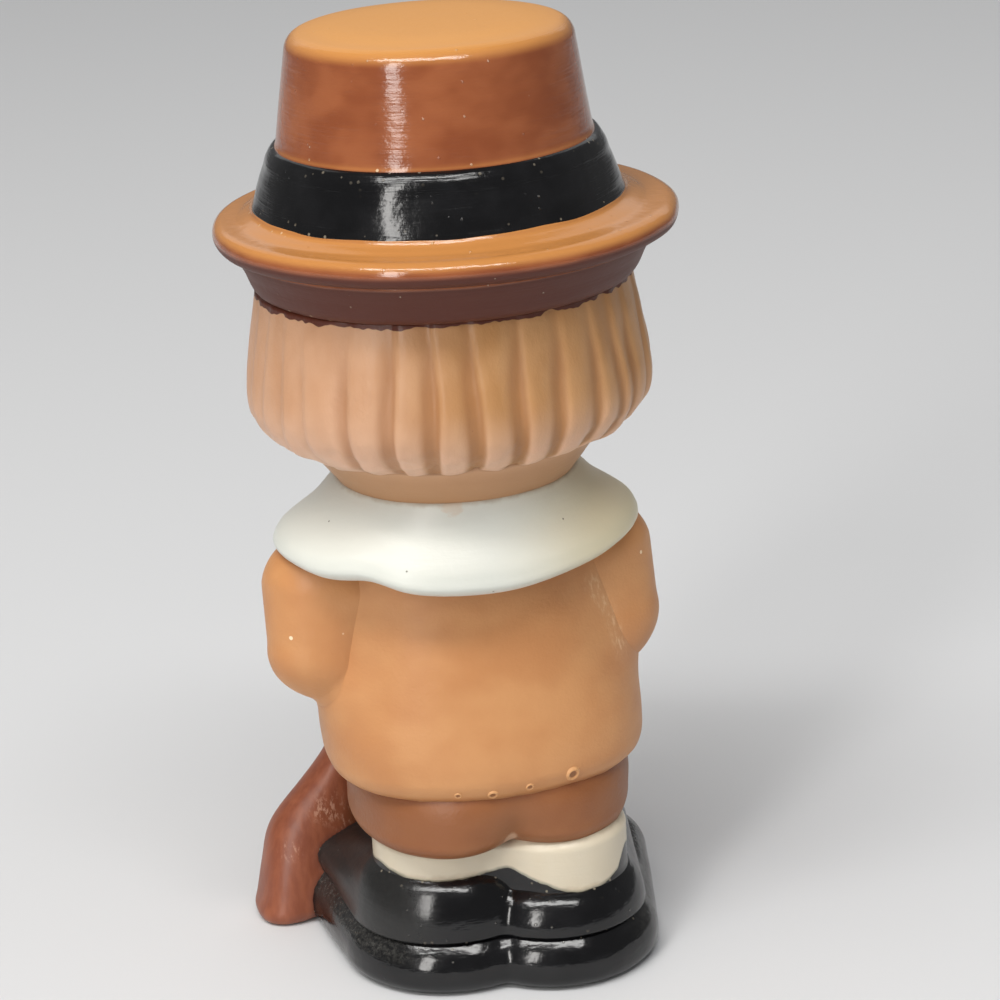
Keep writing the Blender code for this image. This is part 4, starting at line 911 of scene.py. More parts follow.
def grooves():
    """Every groove as (angle, depth): those in the picture, and others at an even pitch round to the face."""
    found = []
    for angle in SEEN_GROOVES:
        depth = SHALLOW_GROOVE + (DEEP_GROOVE - SHALLOW_GROOVE) * float(smooth_step(angle, -0.9, -0.1))
        eased = 1 - RIGHT_EASED * float(smooth_step(angle, 0.3, 0.9))
        found.append((CAMERA_SIDE + angle, depth * eased))
    left = SEEN_GROOVES[0] - UNSEEN_PITCH
    while left > LEFT_END:
        found.append((CAMERA_SIDE + left, LEFT_UNSEEN_DEPTH))
        left -= UNSEEN_PITCH * (1.0 + 0.2 * math.sin(9 * left))
    right = SEEN_GROOVES[-1] + UNSEEN_PITCH
    while right < RIGHT_END:
        found.append((CAMERA_SIDE + right, RIGHT_UNSEEN_DEPTH))
        right += UNSEEN_PITCH * (1.0 + 0.2 * math.sin(9 * right))
    return found


def head_stations():
    """Half width and half depth of the head by height, from the neck to the flat under the hat."""
    nape = COAT_TOP + 2.7
    rise = HAIR_TOP - nape
    return [
        (COAT_TOP - 4.0, NECK_RADIUS, NECK_RADIUS),
        (COAT_TOP, NECK_RADIUS, NECK_RADIUS),
        (nape, 0.97 * NAPE_RADIUS, 0.97 * NAPE_RADIUS),
        (nape + 0.12 * rise, 1.14 * NAPE_RADIUS, 1.14 * NAPE_RADIUS),
        (nape + 0.3 * rise, 0.94 * HEAD_HALF_WIDTH, 0.94 * HEAD_HALF_DEPTH),
        (nape + 0.56 * rise, HEAD_HALF_WIDTH, HEAD_HALF_DEPTH),
        (nape + 0.82 * rise, 0.985 * HEAD_HALF_WIDTH, 0.985 * HEAD_HALF_DEPTH),
        (HAIR_TOP + 0.3, 0.95 * HEAD_HALF_WIDTH, 0.95 * HEAD_HALF_DEPTH),
    ]


NOSE_AT = 70.3


def make_head(finish):
    """The round head, with a small button nose raised from the front."""
    levels = np.linspace(COAT_TOP - 4.0, HAIR_TOP + 0.3, 88)
    sizes = flowing(head_stations(), levels)
    rings = np.array([oval(w, d, z, 220) for z, (w, d) in zip(levels, sizes)])
    front = rings[..., 1] < 0
    gap = np.hypot(rings[..., 0], rings[..., 2] - NOSE_AT)
    nose = np.sqrt(np.clip(1 - (gap / (NOSE_RADIUS * 1.35)) ** 2, 0.0, 1.0)) * 1.9
    skirt = 0.35 * np.exp(-((gap / 3.2) ** 2))
    rings[..., 1] -= np.where(front, nose + skirt, 0.0)
    return skin("painted_head", uneven(rings, 8.0, 0.1), finish, ["head"])


def hair_inset(levels):
    stations = [
        (HAIR_FOOT, HAIR_CURL_INSET),
        (HAIR_FOOT + 0.07 * HAIR_LENGTH, 0.5 * HAIR_CURL_INSET),
        (HAIR_FOOT + 0.2 * HAIR_LENGTH, 0.1 * HAIR_CURL_INSET),
        (HAIR_FOOT + 0.36 * HAIR_LENGTH, 0.0),
        (HAIR_FOOT + 0.7 * HAIR_LENGTH, 0.45 * HAIR_TOP_INSET),
        (HAIR_TOP, HAIR_TOP_INSET),
    ]
    return flowing(stations, levels)[:, 0]


HAIR_SIDES = 520


def make_hair(finish):
    """The bob: upright locks with grooves between them, lumpy where they curl in, open round the face."""
    turn_in = curve([(-8.0, 0.9), (-3.2, 0.05), (-1.2, -0.08), (0.0, 0.0)], 12)[:-1]
    levels = np.linspace(HAIR_FOOT, HAIR_TOP, 64)
    inset = hair_inset(levels)
    inset = np.concatenate((HAIR_CURL_INSET - turn_in[:, 0], inset, [HAIR_TOP_INSET + 3.0]))
    levels = np.concatenate((HAIR_FOOT + turn_in[:, 1], levels, [HAIR_TOP + 0.2]))
    angle = around(HAIR_SIDES)
    share = np.clip((levels - HAIR_FOOT) / HAIR_LENGTH, 0.0, 1.0)
    dent = np.zeros((len(levels), HAIR_SIDES))
    for place, depth in grooves():
        off = (angle - place + math.pi) % math.tau - math.pi
        sway = 0.014 * np.sin(4 * share[:, None] + 7 * place)
        across = off[None, :] + sway
        width = np.where(across < 0, GROOVE_SOFT, GROOVE_SHARP)
        fall = np.exp(-((across / width) ** 2))
        fade = 0.45 + 0.55 * smooth_step(1 - share, 0.05, 0.5)
        dent += depth * fall * fade[:, None]
    rings = np.array(
        [oval(HAIR_HALF_WIDTH - i, HAIR_HALF_DEPTH - i, z, HAIR_SIDES) for z, i in zip(levels, inset)]
    )
    outward = np.stack((np.cos(angle), np.sin(angle), np.zeros(HAIR_SIDES)), axis=-1)
    curl = smooth_step(1 - share, 0.72, 1.0)[:, None]
    rough = 0.46 * curl * lumps(rings, 1.7) + 0.16 * lumps(rings, 4.5)
    rings = rings + outward * (rough - dent)[..., None]
    rings[..., 2] += 0.5 * curl * lumps(rings * np.array([1.0, 1.0, 0.2]), 3.4)
    rings = open_face(rings)
    made = skin("painted_hair", rings, finish, ["hair"])
    keep_reading(made, "groove", np.concatenate((np.clip(dent / 0.6, 0.0, 1.0).ravel(), [0.0, 0.0])))
    return made


def open_face(rings):
    """Draws the hair in under the skin where the face shows, with a rounded edge."""
    drop = HAIR_TOP - FRINGE_LENGTH - HAIR_FOOT
    across = rings[..., 0] / FACE_HALF_WIDTH
    up = (rings[..., 2] - (HAIR_FOOT - 0.3 * drop)) / (1.3 * drop)
    reach = (np.abs(across) ** 3 + np.abs(np.maximum(up, 0.0)) ** 3) ** (1 / 3)
    inside = 1 - smooth_step(reach, 0.94, 1.03)
    inside = np.where(rings[..., 1] < 0, inside, 0.0)
    levels = np.clip(rings[..., 2], COAT_TOP, HAIR_TOP)
    sizes = flowing(head_stations(), levels.ravel()).reshape(*levels.shape, 2)
    skull = 1 / np.sqrt(
        (rings[..., 0] / sizes[..., 0]) ** 2 + (rings[..., 1] / sizes[..., 1]) ** 2 + 1e-9
    )
    under = np.minimum(0.93 * skull, 1.0)
    shrink = 1 + inside * (under - 1)
    return rings * np.stack((shrink, shrink, np.ones_like(shrink)), axis=-1)


# Collar

COLLAR_WAVE_AT, COLLAR_WAVE_WIDTH = -0.64, 0.2
COLLAR_WAVE_RAISE, COLLAR_WAVE_DRAW = 0.6, 0.8
COLLAR_STEPS = 360


def collar_section(angle):
    """The collar's closed section at an angle round the neck, as (radius, height) points."""
    across, along = math.cos(angle), math.sin(angle)
    reach = 1 / math.hypot(across / COLLAR_HALF_WIDTH, along / COLLAR_HALF_DEPTH) + SHOULDER_SHIFT * across
    off = (angle - CAMERA_SIDE - COLLAR_WAVE_AT + math.pi) % math.tau - math.pi
    wave = math.exp(-((off / COLLAR_WAVE_WIDTH) ** 2))
    reach -= COLLAR_WAVE_DRAW * wave
    low = COLLAR_TOP - COLLAR_DROP - COLLAR_DIP * along * along + COLLAR_WAVE_RAISE * wave
    start, end = np.array([NAPE_RADIUS, COLLAR_TOP]), np.array([reach, low])
    down = COLLAR_THICKNESS
    return curve(
        [
            (NECK_RADIUS, COLLAR_TOP - 0.6),
            (NAPE_RADIUS - 0.7, COLLAR_TOP - 0.25),
            start + (0.35, -0.1),
            start + 0.45 * (end - start) + (-0.12, -0.22),
            start + 0.9 * (end - start) + (0.0, 0.08),
            end + (-0.15, -0.1 * down),
            end + (0.0, -0.4 * down),
            end + (-0.35 * down, -0.78 * down),
            end + (-1.0 * down, -down),
            start + 0.6 * (end - start) + (0.0, -2.0 * down),
            (NECK_RADIUS, COAT_TOP - down),
        ],
        60,
    )


def make_collar(finish):
    """The wide falling collar, with a thick soft edge, split in front into two points."""
    sections = []
    for share in np.linspace(0.0, 1.0, COLLAR_STEPS):
        section = collar_section(-math.pi / 2 + math.tau * share)
        rounding = min(share, 1 - share) * COLLAR_STEPS
        plump = 1.0 if rounding >= 4 else math.sqrt(1 - (1 - rounding / 4) ** 2) * 0.5 + 0.5
        middle = section.mean(axis=0)
        section = middle + (section - middle) * (0.86 + 0.14 * plump)
        fall = np.clip((COLLAR_TOP - section[:, 1]) / (COLLAR_DROP + COLLAR_THICKNESS), 0.0, 1.0)
        gap = COLLAR_SPLIT * (0.15 + 0.55 * fall)
        open_by = np.arcsin(np.clip(gap / section[:, 0], 0.0, 0.9))
        angle = -math.pi / 2 + open_by + (math.tau - 2 * open_by) * share
        radius, height = section[:, 0], section[:, 1]
        sections.append(np.column_stack((radius * np.cos(angle), radius * np.sin(angle), height)))
    rings = np.array(sections)
    rings[..., 2] += 0.12 * lumps(rings, 6.0)
    return skin("painted_collar", rings, finish, ["collar"])


# Coat, breeches, stockings

def coat_stations():
    """Half width and half depth of the coat by height: a bell from the shoulders to a rounded hem."""
    width_fall, depth_fall = HEM_HALF_WIDTH - SHOULDER_HALF_WIDTH, HEM_HALF_DEPTH - SHOULDER_HALF_DEPTH
    return [
        (HEM, HEM_HALF_WIDTH - HEM_TUCK, HEM_HALF_DEPTH - HEM_TUCK),
        (HEM + 0.025 * COAT_LENGTH, HEM_HALF_WIDTH - 0.4 * HEM_TUCK, HEM_HALF_DEPTH - 0.4 * HEM_TUCK),
        (HEM + 0.08 * COAT_LENGTH, HEM_HALF_WIDTH, HEM_HALF_DEPTH),
        (HEM + 0.22 * COAT_LENGTH, HEM_HALF_WIDTH, HEM_HALF_DEPTH - 0.4 * HEM_TUCK),
        (
            HEM + 0.5 * COAT_LENGTH,
            SHOULDER_HALF_WIDTH + 0.52 * width_fall,
            SHOULDER_HALF_DEPTH + 0.45 * depth_fall,
        ),
        (HEM + 0.8 * COAT_LENGTH, SHOULDER_HALF_WIDTH, SHOULDER_HALF_DEPTH),
        (HEM + 0.93 * COAT_LENGTH, 0.93 * SHOULDER_HALF_WIDTH, 0.97 * SHOULDER_HALF_DEPTH),
        (COAT_TOP, 0.82 * SHOULDER_HALF_WIDTH, 0.93 * SHOULDER_HALF_DEPTH),
    ]


def coat_at(height):
    return flowing(coat_stations(), [height])[0]


def coat_middle(height):
    """The coat's centre by height: it follows the legs at the hem and the head at the neck."""
    return -0.75 * STANCE_SHIFT * (COAT_TOP - height) / COAT_LENGTH


COAT_SIDES = 300


def make_coat(finish):
    """The bell-shaped coat, its hem rolled under."""
    roll = [(HEM + 0.35, 4.0), (HEM - 0.05, 1.6), (HEM - 0.12, 0.7)]
    levels = np.concatenate((np.linspace(HEM, HEM + 3.5, 16)[:-1], np.linspace(HEM + 3.5, COAT_TOP, 80)))
    sizes = flowing(coat_stations(), levels)
    rings = []
    for height, inset in roll:
        width, depth = coat_at(HEM)
        rings.append(oval(width - inset, depth - inset, height, COAT_SIDES, COAT_FULLNESS))
    for height, (width, depth) in zip(levels, sizes):
        rings.append(oval(width, depth, height, COAT_SIDES, COAT_FULLNESS))
    rings = np.array(rings)
    rings[..., 0] += coat_middle(rings[..., 2])
    rings = uneven(rings, 9.0, 0.16)
    return skin("painted_coat", rings, finish, ["coat"])


def legs_distance(flat, apart):
    """Signed distance to the two lobes of the breeches, which part as the legs do."""
    half_width = LEG_HALF_WIDTH + (LEG_SPREAD / 2) * (1 - apart)
    lobes = []
    for side in (LEFT, RIGHT):
        centre = np.array([(side * LEG_SPREAD / 2 + LEG_LEAN) * apart - STANCE_SHIFT, 0.0])
        offset = flat - centre
        lobe = (np.hypot(offset[:, 0] / half_width, offset[:, 1] / LEG_HALF_DEPTH) - 1) * half_width
        lobes.append(lobe)
    return soft_union(lobes[0], lobes[1], 1.2)


def make_breeches(finish):
    """Full knee breeches in two lobes that meet at the seat."""
    rounding = arc((0.0, LEG_EDGE_ROUND), LEG_EDGE_ROUND, -90, 0, 14)
    stations = [(BREECHES_FOOT + 0.3, LEG_EDGE_ROUND + 5.0)]
    stations += [(BREECHES_FOOT + height, LEG_EDGE_ROUND - bulge) for bulge, height in rounding]
    upper = np.linspace(BREECHES_FOOT + LEG_EDGE_ROUND, BREECHES_TOP, 30)[1:]
    leg_edge = BREECHES_FOOT + LEG_EDGE_ROUND
    inset = flowing([(leg_edge, 0.0), (HEM - 1.2, 0.0), (HEM + 2.0, 1.2), (BREECHES_TOP, 2.4)], upper)[:, 0]
    stations += list(zip(upper, inset))
    rings = []
    for height, depth in stations:
        apart = 1 - 0.75 * (height - BREECHES_FOOT) / (BREECHES_TOP - BREECHES_FOOT)

        def distance(flat, apart=apart):
            return legs_distance(flat, apart)

        rings.append(level_outline(distance, depth, height, np.array([-STANCE_SHIFT, 0.0]), 90.0, 320))
    return skin("painted_breeches", uneven(np.array(rings), 6.0, 0.16), finish, ["breeches"])


def foot_back(side):
    """How far one foot stands behind the axis. The right foot is set back."""
    return HEEL_BACK - side * FOOT_STAGGER / 2


def heel_full(side):
    return LEFT_HEEL_FULL * (side == LEFT)


def heel_of(side):
    full = heel_full(side)
    return np.array([side * HEEL_SPREAD / 2 - STANCE_SHIFT + full, foot_back(side) - full])


def toe_of(side):
    return np.array([side * TOE_SPREAD / 2 - STANCE_SHIFT, foot_back(side) - FOOT_LENGTH])


def ankle_of(side):
    """Centre of the leg, over the heel."""
    return np.array([side * LEG_SPREAD / 2 - STANCE_SHIFT + LEG_LEAN, foot_back(side) - ANKLE_FORWARD])


MIDDLE = np.array([-STANCE_SHIFT, 5.0])

STOCKING_CREASE = 5.0
RIGHT_CALF_BACK = 0.7


def stockings_distance(flat):
    """Signed distance to the two stockings, with the crease between them filled."""
    legs = []
    for side in (LEFT, RIGHT):
        centre = ankle_of(side) + np.array([0.0, RIGHT_CALF_BACK * (side == RIGHT)])
        legs.append(np.linalg.norm(flat - centre, axis=-1) - STOCKING_RADIUS)
    return soft_union(legs[0], legs[1], STOCKING_CREASE)


def make_stockings(finish):
    """The white stockings, between the shoes and the breeches. They run into each other without a gap."""
    levels = np.linspace(SHOE_TOP - 3.0, BREECHES_FOOT + 2.4, 40)
    tuck = 2.6 * smooth_step(levels, BREECHES_FOOT - 0.3, BREECHES_FOOT + 2.4)
    rings = [level_outline(stockings_distance, inset, z, MIDDLE, 60.0, 320) for z, inset in zip(levels, tuck)]
    return skin("painted_stockings", rings, finish, ["stocking_left", "stocking_right"])


# Shoes

def shoe_at(side, share):
    """Heel and toe circles of one shoe upper, at a share of its height from the welt to the mouth."""
    mouth = STOCKING_RADIUS + SHOE_MOUTH_WALL
    drawn_in = share**2.2
    closing = min(max((share - 0.2) / 0.8, 0.0), 1.0) ** 1.3
    swell = 0.5 * SHOE_INSET * math.sin(math.pi * min(share * 1.6, 1.0))
    heel_radius = (HEEL_RADIUS + heel_full(side) - SHOE_INSET) * (1 - drawn_in) + mouth * drawn_in + swell
    toe_radius = (TOE_RADIUS - TOE_INSET) * (1 - drawn_in) + 0.93 * mouth * drawn_in + swell
    heel = heel_of(side) + drawn_in * (ankle_of(side) - heel_of(side))
    front = ankle_of(side) + np.array([0.0, -0.12 * mouth])
    toe = toe_of(side) + closing * (front - toe_of(side))
    return heel, toe, heel_radius, toe_radius


SHOE_CREASE = 1.0
SHOE_ROUND = 1.55
RIGHT_DOME_DROP = 0.28
DOME_RISE = 0.8
LEFT_TOE_FULL, RIGHT_TOE_FULL = 1.8, 0.5


def dome_at(side, share):
    """Heel and toe circles of one upper, its heel domed over to the stocking. The right dome is lower."""
    heel, toe, _, toe_radius = shoe_at(side, share)
    foot, mouth = HEEL_RADIUS + heel_full(side) - SHOE_INSET + 0.35, STOCKING_RADIUS - 0.5
    domed = min(share / (1 - RIGHT_DOME_DROP * (side == RIGHT)), 1.0)
    heel_radius = mouth + (foot - mouth) * (1 - domed**2) ** 0.6
    full = LEFT_TOE_FULL if side == LEFT else RIGHT_TOE_FULL
    toe_radius += full * (1 - share**2) - SHOE_ROUND * max((share - 0.3) / 0.7, 0.0) ** 2.2
    return heel, toe, heel_radius, toe_radius


def shoes_distance(flat, share):
    """Signed distance to both uppers at a share of their height, with the crease between them softened."""
    shoes = [capsule_distance(flat, *dome_at(side, share)) for side in (LEFT, RIGHT)]
    return soft_union(shoes[0], shoes[1], SHOE_CREASE)


def make_shoes(finish):
    """The two plump shoe uppers, domed from the welt up to the stockings, with one crease between them."""
    rings = [level_outline(lambda flat: shoes_distance(flat, 0.0), 3.0, SHOE_FOOT - 0.5, MIDDLE, 60.0, 460)]
    for share in 1 - np.linspace(1.0, 0.0, 44) ** 1.6:
        height = SHOE_FOOT - 0.5 + (SHOE_TOP - SHOE_FOOT + 0.5) * share + DOME_RISE * share**2
        rings.append(level_outline(lambda flat: shoes_distance(flat, share), 0.0, height, MIDDLE, 60.0, 460))
    return skin("painted_shoes", rings, finish, ["shoe_left", "shoe_right"])


# The line of paint between stockings and shoes, as it runs across the picture

PAINT_LINE = (
    (373, 832), (377, 853), (391, 870), (420, 881), (460, 880), (507, 868), (520, 873),
    (540, 883), (570, 892), (597, 887), (617, 870), (622, 853), (626, 832),
)
PIXELS_PER_MM = 8.8


def keep_paint_line(made):
    """Keeps how far each point lies above the line of paint, in millimetres."""
    points, _ = points_of(made)
    pixels = picture_of(points)
    line = np.array(PAINT_LINE, float)
    drawn = flowing(line, np.clip(pixels[:, 0], line[0, 0], line[-1, 0]))[:, 0]
    flat = points[:, :2] - MIDDLE
    off = (np.arctan2(flat[:, 1], flat[:, 0]) - CAMERA_SIDE + math.pi) % math.tau - math.pi
    hidden = smooth_step(np.abs(off), 1.15, 1.5)
    above = (drawn - pixels[:, 1]) / PIXELS_PER_MM
    keep_reading(made, "above_line", above + hidden * (points[:, 2] - SHOE_TOP - DOME_RISE - 0.2 - above))


def feet_distance(flat):
    """Signed distance to the outline of both feet."""
    feet = [
        capsule_distance(flat, heel_of(side), toe_of(side), HEEL_RADIUS + heel_full(side), TOE_RADIUS)
        for side in (LEFT, RIGHT)
    ]
    return soft_union(feet[0], feet[1], 1.0)


def make_sole(finish):
    """The thick base under both shoes, with a blind pour hole beneath."""
    middle = (heel_of(LEFT) + heel_of(RIGHT) + toe_of(LEFT) + toe_of(RIGHT)) / 4
    low = arc((-SOLE_FOOT_ROUND, SOLE_FOOT_ROUND), SOLE_FOOT_ROUND, -90, 0, 12)
    high = arc((-SOLE_TOP_ROUND, SOLE_TOP - SOLE_TOP_ROUND), SOLE_TOP_ROUND, 0, 90, 26)
    sides = 420
    angle = around(sides)
    ray = np.column_stack((np.cos(angle), np.sin(angle)))
    rings = []
    hole = POUR_HOLE_RADIUS
    for radius, height in ((0.4, 4.4), (hole - 0.6, 4.0), (hole, 3.2), (hole, 0.4), (hole + 0.4, 0.0)):
        rings.append(np.column_stack((middle + radius * ray, np.full(sides, height))))
    for bulge, height in np.vstack((low, high)):
        rings.append(level_outline(feet_distance, -bulge, height, middle, 90.0, sides))
    rings.append(level_outline(feet_distance, SOLE_TOP_ROUND + 5.0, SOLE_TOP, middle, 90.0, sides))
    rings = np.array(rings)
    above = smooth_step(rings[..., 2], 0.2, 2.0)
    shaped = uneven(rings, 6.0, 0.14)
    rings = rings + (shaped - rings) * above[..., None]
    return skin("painted_sole", rings, finish, ["sole"])


# Musket

def musket_frame():
    """Place and direction of the musket: butt on the floor by the left toe, muzzle across the chest."""
    toe = toe_of(LEFT)
    foot = Vector((toe[0] + TOE_RADIUS + BUTT_CLEAR, toe[1], 0.0))
    muzzle = Vector((foot.x - MUZZLE_LEAN, -(HEM_HALF_DEPTH + MUZZLE_STANDOFF), 0.88 * MUSKET_LENGTH))
    along = (muzzle - foot).normalized()
    out = Vector((0.0, -1.0, 0.0))
    out = (out - along * out.dot(along)).normalized()
    side = out.cross(along)
    return Matrix.Translation(foot) @ Matrix((side, out, along)).transposed().to_4x4()


def along_musket(distance):
    place = musket_frame()
    return np.array(place.translation + place.col[2].to_3d() * distance)


STOCK_FULLNESS = 2.4
BUTT_EDGE = 1.8


def stock_stations():
    """Half width, half depth and offset of the stock along the musket."""
    fore_end = MUSKET_LENGTH - BARE_BARREL
    drop = -0.8 * BARREL_RADIUS
    wide, deep = GUN_WRIST_HALF_WIDTH, GUN_WRIST_HALF_DEPTH
    return [
        (-2.0 * BUTT_HALF_DEPTH, 0.85 * BUTT_HALF_WIDTH, BUTT_HALF_DEPTH, -0.35 * BUTT_HALF_DEPTH),
        (0.0, 0.97 * BUTT_HALF_WIDTH, BUTT_HALF_DEPTH, -0.3 * BUTT_HALF_DEPTH),
        (0.4 * BUTT_LENGTH, 1.3 * BUTT_HALF_WIDTH, 0.9 * BUTT_HALF_DEPTH, -0.22 * BUTT_HALF_DEPTH),
        (0.85 * BUTT_LENGTH, wide, 1.1 * deep, 0.6 * drop),
        (1.1 * BUTT_LENGTH, wide, deep, drop),
        (fore_end - 2 * deep, 0.95 * wide, 0.9 * deep, drop),
        (fore_end, 0.8 * wide, 0.75 * deep, drop),
    ]


def stock_points(outline, distances):
    """Points of the stock's surface: one for each direction of the outline, each at its own distance."""
    sizes = flowing(stock_stations(), distances)
    across, out = outline[:, 0] * sizes[:, 0], outline[:, 1] * sizes[:, 1] + sizes[:, 2]
    local = np.column_stack((across, out, distances))
    return placed(local, musket_frame())


def make_stock(finish):
    """The stock: a deep butt with a rounded edge on the floor, a thin wrist and a long fore-end."""
    outline = oval(1.0, 1.0, 0.0, 110, STOCK_FULLNESS)
    start = np.zeros(len(outline))
    rise = musket_frame()[2][2]
    for _ in range(12):
        start -= stock_points(outline, start)[:, 2] / rise
    rings = []
    for share in np.linspace(0.0, 1.0, 170) ** 1.4:
        rings.append(stock_points(outline, start + share * (MUSKET_LENGTH - BARE_BARREL - start)))
    rings = uneven_along(np.array(rings), 5.0, 0.14)
    low = np.clip(1 - rings[..., 2] / BUTT_EDGE, 0.0, 1.0)
    draw = BUTT_EDGE * (1 - np.sqrt(1 - np.minimum(low, 1.0) ** 2)) / BUTT_HALF_DEPTH
    middle = rings.mean(axis=1, keepdims=True)
    rings[..., :2] += (middle - rings)[..., :2] * draw[..., None]
    return skin("painted_musket_stock", rings, finish, ["musket_stock"])


def uneven_along(rings, grain, amount):
    """Rings pushed in and out from their own middles, as hand-finished clay is."""
    outward = rings - rings.mean(axis=1, keepdims=True)
    outward /= np.maximum(np.linalg.norm(outward, axis=-1, keepdims=True), 1e-6)
    return rings + outward * (amount * lumps(rings, grain))[..., None]


def make_barrel(finish):
    """The turned barrel, flaring to a bell mouth with a blind bore."""
    flare = MUSKET_LENGTH - 3.2 * MUZZLE_RADIUS
    outside = curve(
        [
            (1.0, BREECH_AT),
            (1.15 * BARREL_RADIUS, BREECH_AT),
            (1.1 * BARREL_RADIUS, BREECH_AT + 8.0),
            (BARREL_RADIUS, flare),
            (0.55 * (BARREL_RADIUS + 0.7 * MUZZLE_RADIUS), MUSKET_LENGTH - 1.8 * MUZZLE_RADIUS),
            (0.8 * MUZZLE_RADIUS, MUSKET_LENGTH - 0.9 * MUZZLE_RADIUS),
            (MUZZLE_RADIUS, MUSKET_LENGTH - 0.35 * MUZZLE_RADIUS),
        ],
        70,
    )
    lip = arc((0.86 * MUZZLE_RADIUS, MUSKET_LENGTH - 0.14 * MUZZLE_RADIUS), 0.14 * MUZZLE_RADIUS, 0, 180, 12)
    bore_end = MUSKET_LENGTH - BORE_DEPTH
    throat = (BORE_RADIUS, bore_end + 0.5 * BORE_DEPTH)
    inside = curve([lip[-1], throat, (BORE_RADIUS, bore_end), (0.2, bore_end)], 24)
    rings = placed(turned(np.vstack((outside, lip, inside[1:])), 96), musket_frame())
    return skin("painted_musket_barrel", rings, finish, ["musket_barrel"])


def make_lock(finish):
    """The lock plate: a rounded, slightly domed plate on the wrist of the stock."""
    low, high = extent("musket_lock")
    centre = Vector((low + high) / 2)
    place = musket_frame()
    local = place.inverted() @ centre
    rings = []
    for share, inset in ((-1.0, 0.0), (0.3, 0.0), (0.65, 0.1), (0.9, 0.35), (1.0, 0.8), (1.0, 1.3)):
        ring = oval(4.0 - inset, 1.5 - min(inset, 1.2), 0.0, 80, 3.4)
        across = np.full(len(ring), local.x + share * 0.85)
        rings.append(np.column_stack((across, local.y + ring[:, 1], local.z + ring[:, 0])))
    rings = placed(np.array(rings), place)
    return skin("painted_musket_lock", rings, finish, ["musket_lock"])


# Arms

def arm_places(side):
    """Shoulder, elbow and grip of one arm."""
    shoulder_height = HEM + 0.7 * COAT_LENGTH
    shoulder_aside = side * (coat_at(shoulder_height)[0] + SHOULDER_OUT) + SHOULDER_SHIFT
    elbow_height = HEM + ELBOW_HEIGHT
    elbow_aside = side * (coat_at(elbow_height)[0] + ELBOW_OUT) + SHOULDER_SHIFT
    shoulder = np.array([shoulder_aside, 0.0, shoulder_height])
    elbow = np.array([elbow_aside, 0.1 * HEM_HALF_DEPTH, elbow_height])
    below_muzzle = RIGHT_GRIP + GRIP_PITCH * (side == LEFT)
    return shoulder, elbow, along_musket(MUSKET_LENGTH - below_muzzle)


def fore_arm(side):
    """Wrist point where the sleeve ends, and the direction from there to the grip."""
    _, elbow, grip = arm_places(side)
    back = elbow + np.array([-side * WRIST_IN, -0.9 * HEM_HALF_DEPTH, 0.0]) - grip
    back /= np.linalg.norm(back)
    return grip + back * (HAND_LENGTH + CUFF_LENGTH), -back


def limb_frame(start, towards):
    """A frame whose Z runs along a limb."""
    towards = Vector(towards)
    side = Vector((0.0, 0.0, 1.0)).cross(towards).normalized()
    turn = Matrix((side, towards.cross(side), towards)).transposed().to_4x4()
    return Matrix.Translation(Vector(start)) @ turn


def limb(start, end, start_radius, end_radius, sides=40):
    """Rings of a tapered limb with a ball at each end."""
    length = np.linalg.norm(end - start)
    lower = arc((0.0, 0.0), start_radius, -88, 0, 14)
    upper = arc((0.0, length), end_radius, 0, 88, 14)
    return placed(turned(np.vstack((lower, upper)), sides), limb_frame(start, (end - start) / length))


def moulded(name, parts, voxel, passes, finish, nodes):
    """One soft form from several overlapping ones, as a sculptor joins lumps of clay."""
    points, faces = [], []
    for rings in parts:
        count, sides = rings.shape[:2]
        index = np.arange(count * sides).reshape(count, sides) + len(points)
        following = np.roll(index, -1, axis=1)
        quads = np.stack((index[:-1], following[:-1], following[1:], index[1:]), axis=-1).reshape(-1, 4)
        points += rings.reshape(-1, 3).tolist()
        faces += quads.tolist() + [index[0, ::-1].tolist(), index[-1].tolist()]
    rough = bpy.data.meshes.new(name + "_rough")
    rough.from_pydata(points, [], faces)
    clay = bpy.data.objects.new(name + "_rough", rough)
    bpy.context.scene.collection.objects.link(clay)
    remesh = clay.modifiers.new("joined", "REMESH")
    remesh.mode = "VOXEL"
    remesh.voxel_size = voxel
    smoothing = clay.modifiers.new("smoothed", "SMOOTH")
    smoothing.factor = 0.5
    smoothing.iterations = passes
    graph = bpy.context.evaluated_depsgraph_get()
    solid = bpy.data.meshes.new_from_object(clay.evaluated_get(graph))
    corners = np.array([v.co for v in solid.vertices], float)
    quads = [tuple(face.vertices) for face in solid.polygons]
    bpy.data.objects.remove(clay)
    return piece(name, corners, quads, finish, nodes)


def make_sleeve(side, finish):
    """A full sleeve, bent at the elbow, with a fold that hangs from the elbow to the coat."""
    shoulder, elbow, _ = arm_places(side)
    wrist, towards = fore_arm(side)
    fold = elbow + np.array([-side * 3.6, 0.6, -3.6])
    parts = [
        limb(shoulder, elbow, SHOULDER_RADIUS, ELBOW_RADIUS),
        limb(elbow, wrist - towards * 0.2 * WRIST_RADIUS, ELBOW_RADIUS, WRIST_RADIUS - 0.5),
        limb(elbow, fold, ELBOW_RADIUS - 0.4, 3.6),
    ]
    name = SIDE_NAMES[side]
    return moulded("painted_sleeve_" + name, parts, 0.34, 14, finish, ["sleeve_" + name])


